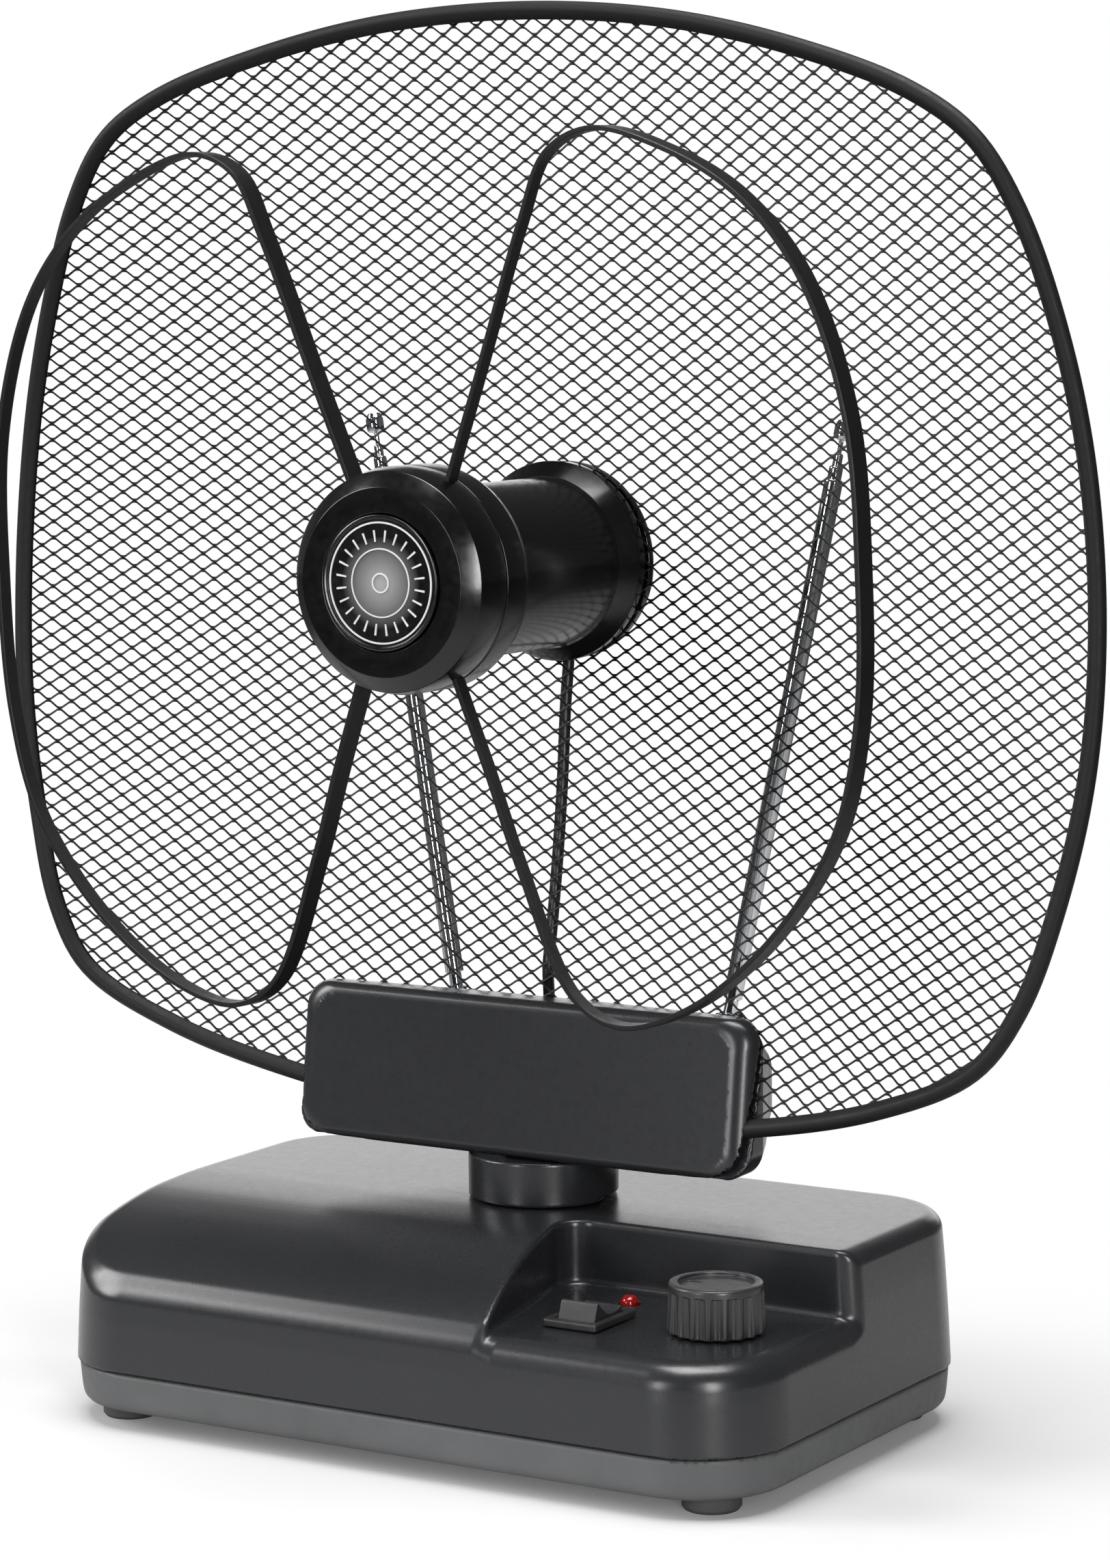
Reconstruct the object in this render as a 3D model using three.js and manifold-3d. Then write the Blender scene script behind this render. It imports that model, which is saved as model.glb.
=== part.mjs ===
// Indoor television antenna: a weighted base with controls, a swivelling head, a dished
// wire-mesh reflector, a boom carrying two butterfly loops, and two telescopic ears behind the reflector.
// Millimetres. +Z up, the front of the antenna faces -Y, +X is the right hand side seen from the front.
import * as THREE from "three";
import { mergeVertices } from "three/addons/utils/BufferGeometryUtils.js";
import Module from "manifold-3d";

const wasm = await Module();
wasm.setup();

// ---------------------------------------------------------------- driving dimensions
const GAP = 0.35; // running clearance between neighbouring pieces

const BASE_W = 219; // base width at the seam
const BASE_FRONT = -68.5; // front face of the base at the seam
const BASE_BACK = 68.5;
const SEAM_Z = 16; // upper shell sits on the tray here
const TRAY_Z = 4.8; // underside of the tray
const TOP_Z = 58; // flat top of the base
const CORNER_R = 27; // plan radius of the base corners
const SHELL_T = 2.4;

const FLOOR_Z = 40; // floor of the control recess
const WALL_Y = -4; // back wall of the control recess
const WALL_X = 20; // left wall of the recess at the back
const WALL_X_FRONT = 34; // left wall of the recess at the front face
const RECESS_R = 9;

const LED_AT = [47, -15.8];
const SWITCH_AT = [48.4, -38.4];
const KNOB_AT = [82.5, -32];
const KNOB_R = 12.8;

const NECK_AT = [0, 17.5];
const NECK_R = 20.6;
const NECK_TOP = 70.6;

const HEAD_W = 72.4; // half width at the parting line
const HEAD_Z0 = 71;
const HEAD_Z1 = 113.6;
const HEAD_LEAN = 0.13; // the front face leans back with height
const HEAD_FRONT = 0.4; // front face at HEAD_Z0
const HEAD_T = 2.2;

const AXIS_Z = 231.6; // boom axis
const DISH_Y = 30.5; // reflector at the boom axis
const DISH_CX = 7.4e-4; // sag coefficients of the dish
const DISH_CZ = 9.7e-4;
const SHEET_T = 0.8;
const RIM_R = 2.15;
const REFLECTOR_ROLL = THREE.MathUtils.degToRad(-1);

const HUB_R = 29.6;
const HUB_FACE_Y = -58.2;
const HUB_SPLIT_Y = -44;
const HUB_REAR_Y = -31;
const BOOM_R = 23;
const FLANGE_R = 27.2;

const STRIP_T = 1.3; // loop strip
const STRIP_Y0 = -48.8;
const STRIP_Y1 = -43;
const STRIP_FLARE = 0.16; // the rear edge of the strip stands outside the front edge
const LOOP_ROLL = THREE.MathUtils.degToRad(2);

const EAR_AT = [43.8, 43]; // foot of each ear
const EAR_PIVOT_Z = 105;
const EAR_LEAN = THREE.MathUtils.degToRad(11.4); // outward from upright
const EAR_TURN = THREE.MathUtils.degToRad(15.4); // lean direction, from sideways toward the back
const EAR_TUBE_L = 152;

// ---------------------------------------------------------------- materials
const mat = (name, color, metalness, roughness) =>
  Object.assign(new THREE.MeshStandardMaterial({ color, metalness, roughness }), { name });
const M = {
  shell: mat("shell_plastic", 0x2b2c2e, 0, 0.5),
  tray: mat("tray_plastic", 0x46484a, 0, 0.6),
  gloss: mat("gloss_black", 0x111214, 0, 0.2),
  rubber: mat("foot_rubber", 0x1a1a1a, 0, 0.9),
  steel: mat("ballast_steel", 0x8a8c8e, 1, 0.5),
  board: mat("circuit_board", 0x1d5a34, 0, 0.5),
  chrome: mat("chrome", 0xd8dadc, 1, 0.1),
  brass: mat("brass", 0xb89a4a, 1, 0.3),
  knob: mat("knob_plastic", 0x3a3b3d, 0, 0.5),
  lens: mat("led_lens", 0xb0120c, 0, 0.2),
  mesh: mat("mesh_paint", 0x2a2b2c, 0.3, 0.5),
  strip: mat("strip_paint", 0x222324, 0.3, 0.45),
  cable: mat("cable_jacket", 0x151515, 0, 0.6),
  face: mat("emblem_face", 0x0b0b0c, 0, 0.25),
};

const root = new THREE.Group();
root.name = "rabbit_ears_antenna";

// ---------------------------------------------------------------- solids
function solid(geometry) {
  const bare = new THREE.BufferGeometry();
  const flat = geometry.index ? geometry.toNonIndexed() : geometry;
  bare.setAttribute("position", flat.getAttribute("position"));
  const merged = mergeVertices(bare, 1e-4);
  const kept = [];
  const ids = merged.index.array;
  for (let i = 0; i < ids.length; i += 3) {
    const [a, b, c] = [ids[i], ids[i + 1], ids[i + 2]];
    if (a !== b && b !== c && c !== a) kept.push(a, b, c);
  }
  const build = (tris) =>
    new wasm.Manifold(
      new wasm.Mesh({
        numProp: 3,
        vertProperties: merged.attributes.position.array,
        triVerts: new Uint32Array(tris),
      }),
    );
  const made = build(kept);
  if (made.volume() > 0) return made;
  const turned = [];
  for (let i = 0; i < kept.length; i += 3) turned.push(kept[i], kept[i + 2], kept[i + 1]);
  return build(turned);
}

function geometryOf(body) {
  const m = body.getMesh();
  const n = m.numProp;
  const at = new Float32Array(m.numVert * 3);
  for (let i = 0; i < m.numVert; i++) at.set(m.vertProperties.subarray(i * n, i * n + 3), i * 3);
  const g = new THREE.BufferGeometry();
  g.setAttribute("position", new THREE.BufferAttribute(at, 3));
  g.setIndex(new THREE.BufferAttribute(new Uint32Array(m.triVerts), 1));
  const flat = g.toNonIndexed();
  flat.computeVertexNormals();
  return flat;
}

function add(name, body, material) {
  const mesh = new THREE.Mesh(geometryOf(body), material);
  mesh.name = name;
  root.add(mesh);
}

function block(x0, x1, y0, y1, z0, z1) {
  const g = new THREE.BoxGeometry(x1 - x0, y1 - y0, z1 - z0);
  g.translate((x0 + x1) / 2, (y0 + y1) / 2, (z0 + z1) / 2);
  return solid(g);
}

// Turned about an upright axis at x, y; profile holds [radius, z] pairs, closed on itself or on the axis.
function turnedZ(profile, x, y, segments = 32) {
  const g = new THREE.LatheGeometry(profile.map(([r, z]) => new THREE.Vector2(r, z)), segments);
  g.rotateX(Math.PI / 2);
  g.translate(x, y, 0);
  return solid(g);
}

// Turned about the boom direction through x, z; profile holds [radius, y] pairs.
function turnedY(profile, x = 0, z = AXIS_Z, segments = 32) {
  const g = new THREE.LatheGeometry(profile.map(([r, y]) => new THREE.Vector2(r, y)), segments);
  g.translate(x, 0, z);
  return solid(g);
}

const discZ = (r, z0, z1, x, y, segments = 24) =>
  turnedZ([[0, z0], [r, z0], [r, z1], [0, z1]], x, y, segments);
const discY = (r, y0, y1, x, z, segments = 24) =>
  turnedY([[0, y0], [r, y0], [r, y1], [0, y1]], x, z, segments);
// A copy of a body under a matrix.
const moved = (body, matrix) => solid(geometryOf(body).applyMatrix4(matrix));
const turnedAbout = (axis, angle) => new THREE.Matrix4().makeRotationAxis(axis, angle);
const X = new THREE.Vector3(1, 0, 0);
const Y = new THREE.Vector3(0, 1, 0);
const Z = new THREE.Vector3(0, 0, 1);
const discX = (r, x0, x1, y, z, segments = 16) =>
  moved(discZ(r, x0, x1, 0, 0, segments), turnedAbout(Y, Math.PI / 2).setPosition(0, y, z));
const ringZ = (r0, r1, z0, z1, x, y, segments = 32) =>
  turnedZ([[r0, z0], [r1, z0], [r1, z1], [r0, z1], [r0, z0]], x, y, segments);

// A skin over a row of sections with equal point counts; closed joins the last section to the first.
function loft(sections, closed = false) {
  const at = [];
  const push = (...points) => points.forEach((q) => at.push(q.x, q.y, q.z));
  const rows = sections.length;
  const n = sections[0].length;
  for (let i = 0; i < (closed ? rows : rows - 1); i++) {
    const a = sections[i];
    const b = sections[(i + 1) % rows];
    for (let j = 0; j < n; j++) {
      const k = (j + 1) % n;
      push(a[j], b[j], b[k]);
      push(a[j], b[k], a[k]);
    }
  }
  const cap = (row, flip) => {
    const centre = row.reduce((s, q) => s.add(q), new THREE.Vector3()).divideScalar(n);
    for (let j = 0; j < n; j++) {
      const k = (j + 1) % n;
      if (flip) push(centre, row[k], row[j]);
      else push(centre, row[j], row[k]);
    }
  };
  if (!closed) {
    cap(sections[0], false);
    cap(sections[rows - 1], true);
  }
  const g = new THREE.BufferGeometry();
  g.setAttribute("position", new THREE.Float32BufferAttribute(at, 3));
  return solid(g);
}

// A rounded rectangle as [u, v] pairs, counter-clockwise, with a radius at each corner.
function roundedRect(u0, u1, v0, v1, radii, steps = 5) {
  const [a, b, c, d] = radii; // (u1,v0) (u1,v1) (u0,v1) (u0,v0)
  const corners = [
    [u1 - a, v0 + a, a, -90],
    [u1 - b, v1 - b, b, 0],
    [u0 + c, v1 - c, c, 90],
    [u0 + d, v0 + d, d, 180],
  ];
  const out = [];
  for (const [u, v, r, start] of corners)
    for (let i = 0; i <= steps; i++) {
      const t = THREE.MathUtils.degToRad(start + (90 * i) / steps);
      out.push([u + r * Math.cos(t), v + r * Math.sin(t)]);
    }
  return out;
}

// An upright prism over a plan outline.
function prism(outline, z0, z1) {
  const shape = new THREE.Shape(outline.map(([x, y]) => new THREE.Vector2(x, y)));
  const g = new THREE.ExtrudeGeometry(shape, { depth: z1 - z0, bevelEnabled: false });
  g.translate(0, 0, z0);
  return solid(g);
}

// A round bar through a row of points.
function bar(points, radius, sides = 12) {
  const path = new THREE.CatmullRomCurve3(points, false, "centripetal");
  const steps = Math.max(2, points.length * 3);
  const frames = path.computeFrenetFrames(steps, false);
  const rows = [];
  for (let i = 0; i <= steps; i++) {
    const centre = path.getPointAt(i / steps);
    const row = [];
    for (let j = 0; j < sides; j++) {
      const t = (2 * Math.PI * j) / sides;
      row.push(
        centre
          .clone()
          .addScaledVector(frames.normals[i], radius * Math.cos(t))
          .addScaledVector(frames.binormals[i], radius * Math.sin(t)),
      );
    }
    rows.push(row);
  }
  return loft(rows);
}

// ---------------------------------------------------------------- base
// Plan levels of the hood: [z, half width, front y, back y, corner radius].
const HOOD = [
  [SEAM_Z, 109.5, -68.5, 68.5, 27],
  [30, 109, -68, 68, 27],
  [44, 108.2, -67, 67.2, 26.5],
  [52, 107.4, -66, 66.4, 26],
  [55.5, 106.4, -65, 65.2, 25.5],
  [57.3, 104.8, -63, 63.2, 24.5],
  [TOP_Z, 102, -60, 60.4, 23],
];
// Side view of the slope that runs down to the front: [y, z].
const RAMP = [
  [-75, 31], [-65.6, 40.2], [-61.5, 44], [-54, 48], [-45, 51.5], [-34, 54.5], [-21, 56.8], [-6, 57.8],
  [6, TOP_Z + 0.4], [90, TOP_Z + 4],
];
// Levels of the low apron in front of the recess floor.
const APRON = [
  [SEAM_Z, 109.5, -68.5, 68.5, 27],
  [30, 109, -68, 68, 27],
  [34, 108.2, -67, 67, 26.5],
  [37, 106.6, -65.2, 66, 25.5],
  [39, 104, -62.2, 65, 24.5],
  [FLOOR_Z, 100.8, -58.4, 64, 23.5],
];
// A rounded rectangle with equal corners, laid flat at a height.
function planRow(x0, x1, y0, y1, r, z) {
  return roundedRect(x0, x1, y0, y1, Array(4).fill(r)).map(([x, y]) => new THREE.Vector3(x, y, z));
}
function shellBlock(levels, inset, drop) {
  return loft(
    levels.map(([z, w, front, back, r]) =>
      planRow(-w + inset, w - inset, front + inset, back - inset, r - inset, z - drop),
    ),
  );
}
// Everything under the slope, lowered by a depth.
function underRamp(drop) {
  const side = [[-75, 0], ...RAMP.map(([y, z]) => [y, z - drop]), [90, 0]];
  return prism(side, -120, 120).rotate([90, 0, 90]);
}
// Plan of the control recess, open at the front and at the right.
function recessPlan(grow) {
  const wall = WALL_Y + grow;
  const left = WALL_X - grow;
  const front = -90;
  const slope = (WALL_X_FRONT - WALL_X) / (BASE_FRONT - WALL_Y);
  const r = RECESS_R + grow;
  const out = [[left + slope * (front - wall), front], [140, front], [140, wall]];
  for (let i = 0; i <= 5; i++) {
    const t = (Math.PI / 2) * (1 + i / 5);
    out.push([left + r + r * Math.cos(t), wall - r + r * Math.sin(t)]);
  }
  return out;
}
// Plan prisms that cut the recess out of the hood, and its skin out of the hollow.
const recess = prism(recessPlan(0), 10, 90);
const recessSkin = prism(recessPlan(SHELL_T), 5, 90);
const hood = shellBlock(HOOD, 0, 0).intersect(underRamp(0)).subtract(recess);
const apron = shellBlock(APRON, 0, 0).intersect(prism(recessPlan(0.05), 10, 90));
const hoodInside = shellBlock(HOOD, SHELL_T, SHELL_T)
  .intersect(underRamp(SHELL_T * 1.1))
  .subtract(recessSkin);
const apronInside = shellBlock(APRON, SHELL_T, SHELL_T).intersect(
  prism(recessPlan(SHELL_T + 0.1), 5, 90),
);
const outerShell = hood.add(apron);
let topShell = outerShell
  .subtract(hoodInside)
  .subtract(apronInside)
  .subtract(block(-120, 120, -80, 80, 0, SEAM_Z + 0.2))
  .subtract(discZ(16.4, 30, 70, ...NECK_AT, 28)) // neck spigot
  .subtract(discZ(2.9, 30, 45, ...LED_AT))
  .subtract(discZ(3.6, 30, 45, ...KNOB_AT))
  .subtract(block(SWITCH_AT[0] - 6.6, SWITCH_AT[0] + 6.6, SWITCH_AT[1] - 9, SWITCH_AT[1] + 9, 30, 45))
  .subtract(discY(5.4, 55, 75, -62, 31)) // coaxial output
  .subtract(discY(4.6, 55, 75, -38, 31)); // power inlet
// screw posts under the hood
const POSTS = [[-70, -56], [70, -56], [-84, 36], [84, 36]];
for (const [x, y] of POSTS)
  topShell = topShell
    .add(discZ(3.6, 19, 70, x, y, 16).intersect(outerShell))
    .subtract(discZ(1.3, 10, 30, x, y, 12));
add("base_top_shell", topShell, M.shell);

function trayLevel(z, inset, r) {
  const half = BASE_W / 2 - inset;
  return planRow(-half, half, BASE_FRONT + inset, BASE_BACK - inset, r, z);
}
let tray = loft([
  trayLevel(TRAY_Z, 3.6, 23),
  trayLevel(TRAY_Z + 1, 2.4, 24.2),
  trayLevel(TRAY_Z + 3.2, 1.4, 25.5),
  trayLevel(SEAM_Z - GAP + 0.2, 0.6, 26.5),
]).subtract(
  loft([trayLevel(TRAY_Z + 3.6, 6.4, 20.5), trayLevel(SEAM_Z + 4, 3.2, 23.5)]),
);
for (const [x, y] of POSTS)
  tray = tray.add(discZ(3.6, 7, 18.6, x, y, 16)).subtract(discZ(1.8, 0, 30, x, y, 12)).subtract(
    discZ(3.4, 0, 9, x, y, 16),
  );
const FEET = [[-91.5, -50.5], [91.5, -50.5], [-91.5, 50.5], [91.5, 50.5]];
for (const [x, y] of FEET) tray = tray.subtract(discZ(8.1, 0, 7.2, x, y, 28));
add("base_bottom_tray", tray, M.tray);
FEET.forEach(([x, y], i) =>
  add(
    `foot_${i + 1}`,
    turnedZ([[0, 0], [7, 0], [7.7, 0.8], [7.7, 6.85], [0, 6.85]], x, y, 32),
    M.rubber,
  ),
);
POSTS.forEach(([x, y], i) =>
  add(
    `tray_screw_${i + 1}`,
    turnedZ([[0, 7.3], [2.9, 7.3], [2.9, 8.6], [1.1, 8.6], [1.1, 24], [0, 25]], x, y, 12),
    M.steel,
  ),
);

const ballast = block(-70, 2, -48, 50, 8.75, 16.5);
add("ballast_plate", ballast, M.steel);

// amplifier board with its jacks, lamp, switch and gain control
const BOARD_Z = 25;
const board = block(-76, 96, 18, 58, BOARD_Z, BOARD_Z + 1.6)
  .add(block(28, 99, -50, 19, BOARD_Z, BOARD_Z + 1.6))
  .subtract(discZ(17.2, 20, 30, ...NECK_AT, 28));
add("amplifier_board", board.subtract(discZ(4.4, 20, 30, 84, 36)), M.board);
const jackBody = block(-68, -56, 46, 62.6, BOARD_Z + 1.6 + GAP, 37)
  .add(discY(5, 62, 73, -62, 31, 20))
  .subtract(discY(3.6, 64, 80, -62, 31, 16))
  .add(discY(0.6, 60, 71, -62, 31, 8));
add("coax_output_jack", jackBody, M.brass);
const inletBody = block(-43.5, -32.5, 48, 62.6, BOARD_Z + 1.6 + GAP, 36.5)
  .add(discY(4.2, 62, 68, -38, 31, 20))
  .subtract(discY(2.9, 56, 80, -38, 31, 16))
  .add(discY(0.9, 50, 66, -38, 31, 10));
add("power_inlet_jack", inletBody, M.gloss);
add(
  "led_lamp",
  turnedZ(
    [[0, BOARD_Z + 2], [2.5, BOARD_Z + 2], [2.5, FLOOR_Z + 0.4], [2.3, FLOOR_Z + 1.5], [1.6, FLOOR_Z + 2.5],
     [0.8, FLOOR_Z + 2.9], [0, FLOOR_Z + 3]],
    ...LED_AT,
    24,
  ),
  M.lens,
);
const [SX, SY] = SWITCH_AT;
const housing = block(SX - 8.2, SX + 8.2, SY - 10.6, SY + 10.6, FLOOR_Z + 0.3, FLOOR_Z + 2.3)
  .add(block(SX - 6.2, SX + 6.2, SY - 8.6, SY + 8.6, BOARD_Z + 2, FLOOR_Z + 1))
  .subtract(block(SX - 5.9, SX + 5.9, SY - 7.9, SY + 7.9, BOARD_Z + 4, FLOOR_Z + 5))
  .add(discX(0.9, SX - 6, SX + 6, SY, FLOOR_Z - 0.2));
add("switch_housing", housing, M.gloss);
// rocker paddle, tipped with its front end up
const ROCK_TIP = THREE.MathUtils.degToRad(14);
const paddleSide = [
  [-7.2, -1], [-6.4, 5], [-5.8, 5.5], [0, 3.2], [5.8, 5.5], [6.4, 5], [7.2, -1], [3, -4.4], [-3, -4.4],
];
const paddleShape = new THREE.Shape(paddleSide.map(([y, z]) => new THREE.Vector2(y, z)));
const paddleGeometry = new THREE.ExtrudeGeometry(paddleShape, { depth: 11.2, bevelEnabled: false });
paddleGeometry.translate(0, 0, -5.6);
paddleGeometry.applyMatrix4(new THREE.Matrix4().makeBasis(
  new THREE.Vector3(0, 1, 0), new THREE.Vector3(0, 0, 1), new THREE.Vector3(1, 0, 0),
));
paddleGeometry.rotateX(-ROCK_TIP);
paddleGeometry.translate(SX, SY, FLOOR_Z - 0.2);
add("power_rocker", solid(paddleGeometry).subtract(discX(1.25, SX - 8, SX + 8, SY, FLOOR_Z - 0.2)), M.gloss);

add(
  "gain_control_body",
  discZ(7, BOARD_Z + 1.6 + GAP, BOARD_Z + 9, ...KNOB_AT, 24)
    .add(discZ(3.2, BOARD_Z + 8, FLOOR_Z + 1, ...KNOB_AT, 20))
    .subtract(discZ(2.1, BOARD_Z + 4, FLOOR_Z + 6, ...KNOB_AT, 20)),
  M.steel,
);
// knob with fluted skirt, a spigot shaft running in the control body
let knob = turnedZ(
  [
    [0, FLOOR_Z + 1.6], [4, FLOOR_Z + 1.6], [4, FLOOR_Z + 0.6], [KNOB_R, FLOOR_Z + 0.6],
    [KNOB_R - 0.5, FLOOR_Z + 12.2], [KNOB_R - 1, FLOOR_Z + 13.6], [KNOB_R - 2.4, FLOOR_Z + 13.6],
    [KNOB_R - 2.8, FLOOR_Z + 12.6], [0, FLOOR_Z + 12.6],
  ],
  ...KNOB_AT,
  36,
);
for (let i = 0; i < 18; i++) {
  const t = (2 * Math.PI * i) / 18;
  const x = KNOB_AT[0] + (KNOB_R + 0.5) * Math.cos(t);
  const y = KNOB_AT[1] + (KNOB_R + 0.5) * Math.sin(t);
  knob = knob.subtract(discZ(1.3, FLOOR_Z - 1, FLOOR_Z + 11.6, x, y, 6));
}
const [KX, KY] = KNOB_AT;
knob = knob
  .subtract(block(KX - 8.5, KX - 4, KY - 0.5, KY + 0.5, FLOOR_Z + 12.1, FLOOR_Z + 14)) // pointer
  .add(discZ(1.75, BOARD_Z + 5, FLOOR_Z + 3, ...KNOB_AT, 16));
add("gain_knob", knob, M.knob);

// ---------------------------------------------------------------- neck
let neck = turnedZ(
  [[8, 48], [16, 48], [16, TOP_Z + 0.4], [NECK_R - 0.4, TOP_Z + 0.4], [NECK_R, TOP_Z + 1], [NECK_R, NECK_TOP],
   [10.4, NECK_TOP], [10.4, 75], [8, 75], [8, 48]],
  ...NECK_AT,
  36,
);
// flat flanks either side of a proud cylindrical front
for (const side of [-1, 1])
  neck = neck.subtract(
    moved(
      block(-30, 30, -34, 26, TOP_Z + 1.4, NECK_TOP + 2),
      turnedAbout(Z, side * 0.24)
        .multiply(new THREE.Matrix4().makeTranslation(side * (30 + NECK_R - 2.2), 0, 0))
        .premultiply(new THREE.Matrix4().makeTranslation(NECK_AT[0], NECK_AT[1], 0)),
    ),
  );
add("swivel_neck", neck, M.shell);
add(
  "swivel_retainer",
  turnedZ(
    [[11, 46], [20.5, 46], [20.5, 55.2], [16.35, 55.2], [16.35, 47.65], [11, 47.65], [11, 46]],
    ...NECK_AT,
    28,
  ),
  M.steel,
);

// ---------------------------------------------------------------- reflector dish
const dishY = (x, z) => DISH_Y - DISH_CX * x * x - DISH_CZ * (z - AXIS_Z) ** 2;
// Right half of the rim centre line about the boom axis: [x, z].
const HALF_RIM = [
  [0, 147.2], [44, 144.4], [83, 136.5], [117.5, 125], [135.3, 113.4], [147.4, 95.2], [158.4, 65.4],
  [165.9, 32.6], [169.6, -8], [168.3, -45.6], [161.9, -79.3], [153.5, -105], [141.5, -121.9],
  [112.3, -135.9], [71.5, -145.8], [36, -149.8], [0, -150.9],
];
const rimLoop = [
  ...HALF_RIM,
  ...HALF_RIM.slice(1, -1).reverse().map(([x, z]) => [-x, z]),
].map(([x, z]) => {
  const c = Math.cos(REFLECTOR_ROLL);
  const s = Math.sin(REFLECTOR_ROLL);
  return new THREE.Vector3(x * c - z * s, 0, x * s + z * c + AXIS_Z);
});
const rimCurve = new THREE.CatmullRomCurve3(rimLoop, true, "centripetal");
const RIM_STEPS = 64;
const rimPoints = [];
for (let i = 0; i < RIM_STEPS; i++) {
  const q = rimCurve.getPoint(i / RIM_STEPS); // closer together round the corners
  q.y = dishY(q.x, q.z);
  rimPoints.push(q);
}
// Frame at each rim point: "inward" lies in the dish toward its middle, "normal" points out of its face.
function rimFrames() {
  return rimPoints.map((q, i) => {
    const before = rimPoints[(i + RIM_STEPS - 1) % RIM_STEPS];
    const after = rimPoints[(i + 1) % RIM_STEPS];
    const along = after.clone().sub(before).normalize();
    const normal = new THREE.Vector3(
      2 * DISH_CX * q.x,
      1,
      2 * DISH_CZ * (q.z - AXIS_Z),
    ).normalize();
    const inward = along.clone().cross(normal).normalize();
    if (inward.dot(new THREE.Vector3(-q.x, 0, AXIS_Z - q.z)) < 0) inward.negate();
    return { q, inward, normal };
  });
}
const frames = rimFrames();
// Round bead with a slot on its inner side for the edge of the sheet.
const SLOT_HALF = SHEET_T / 2 + GAP;
function rimSection(radius, slotted) {
  const out = [];
  const steps = slotted ? 7 : 8;
  const start = slotted ? Math.asin(SLOT_HALF / radius) : 0;
  const span = slotted ? 2 * Math.PI - 2 * start : 2 * Math.PI * (1 - 1 / (steps + 1));
  for (let i = 0; i <= steps; i++) {
    const t = start + (span * i) / steps;
    out.push([radius * Math.cos(t), radius * Math.sin(t)]);
  }
  if (slotted) out.push([0.2, -SLOT_HALF], [0.2, SLOT_HALF]);
  return out;
}
const rimBead = (radius, slotted) =>
  loft(
    frames.map(({ q, inward, normal }) =>
      rimSection(radius, slotted).map(([u, v]) =>
        q.clone().addScaledVector(inward, u).addScaledVector(normal, v),
      ),
    ),
    true,
  );
add("reflector_rim", rimBead(RIM_R, true), M.mesh);

// The expanded-metal sheet as one thin dished plate.
const SHEET_RINGS = [0.06, 0.3, 0.6, 0.85, 1];
function sheetSide(offset) {
  return SHEET_RINGS.map((k) =>
    frames.map(({ q, inward }) => {
      const edge = q.clone().addScaledVector(inward, 0.2 + GAP);
      const x = edge.x * k;
      const z = AXIS_Z + (edge.z - AXIS_Z) * k;
      return new THREE.Vector3(x, dishY(x, z) + offset, z);
    }),
  );
}
const front = sheetSide(-SHEET_T / 2);
const back = sheetSide(SHEET_T / 2);
const SCREWS = [[-52, 101], [52, 101]];
let sheet = loft([...front, ...back.reverse()], true);
for (const [x, z] of SCREWS) sheet = sheet.subtract(discY(3.2, 0, 30, x, z, 12));
add("reflector_mesh", sheet, M.mesh);

// ---------------------------------------------------------------- head
const PARTING = SHEET_T / 2 + 0.65; // each shell stops this far from the middle of the sheet
// Everything in front of (side -1) or behind (side 1) the dish surface, as a block over the head.
function besideDish(offset, side) {
  const columns = 10;
  const rows = 4;
  const line = (z) => {
    const out = [];
    for (let i = 0; i <= columns; i++) {
      const x = -84 + (168 * i) / columns;
      out.push(new THREE.Vector3(x, dishY(x, z) + offset, z));
    }
    const far = side < 0 ? -90 : 120;
    out.push(new THREE.Vector3(84, far, z), new THREE.Vector3(-84, far, z));
    return out;
  };
  const levels = [];
  for (let i = 0; i <= rows; i++) levels.push(line(64 + (60 * i) / rows));
  const g = [];
  const push = (...points) => points.forEach((q) => g.push(q.x, q.y, q.z));
  const n = levels[0].length;
  for (let i = 0; i < rows; i++)
    for (let j = 0; j < n; j++) {
      const k = (j + 1) % n;
      push(levels[i][j], levels[i + 1][j], levels[i + 1][k]);
      push(levels[i][j], levels[i + 1][k], levels[i][k]);
    }
  // cap triangles follow the outline's own direction at the foot and run against it at the top
  const capAt = (row, top) => {
    const flat = row.map((q) => new THREE.Vector2(q.x, q.y));
    const turn = Math.sign(THREE.ShapeUtils.area(flat)) * (top ? -1 : 1);
    for (const [a, b, c] of THREE.ShapeUtils.triangulateShape(flat, []))
      if (THREE.ShapeUtils.area([flat[a], flat[b], flat[c]]) * turn > 0) push(row[a], row[b], row[c]);
      else push(row[a], row[c], row[b]);
  };
  capAt(levels[0], false);
  capAt(levels[rows], true);
  const geometry = new THREE.BufferGeometry();
  geometry.setAttribute("position", new THREE.Float32BufferAttribute(g, 3));
  return solid(geometry);
}
// Sections of the head along the depth:
// [depth from the front face, inset of the sides, top drop, bottom lift].
const HEAD_NOSE = [
  [0, 6.5, 3, 3], [0.5, 4.1, 1.4, 1.4], [1.8, 2, 0.4, 0.4], [3.6, 0.7, 0, 0], [6.5, 0, 0, 0], [30, 0, 0, 0],
];
const HEAD_TAIL = [
  [-12, 0, 0, 0], [6, 0.4, 0.6, 0.2], [17, 5.5, 5, 0.8], [34, 14.4, 10.5, 1.6], [46, 19.8, 14, 3],
  [50, 24, 17, 6],
];
function headBlock(stations, inset, lean, start) {
  return loft(
    stations.map(([depth, side, drop, lift]) => {
      const half = HEAD_W - side - inset;
      const outline = roundedRect(-half, half, HEAD_Z0 + lift + inset, HEAD_Z1 - drop - inset, [8, 7, 7, 8]);
      return outline.map(([x, z]) => new THREE.Vector3(x, start + depth + lean * (z - HEAD_Z0), z));
    }),
  );
}
const shift = (stations, by) => stations.map(([d, ...rest]) => [d + by, ...rest]);
const rimChannel = rimBead(RIM_R + GAP + 0.1, false);
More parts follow.
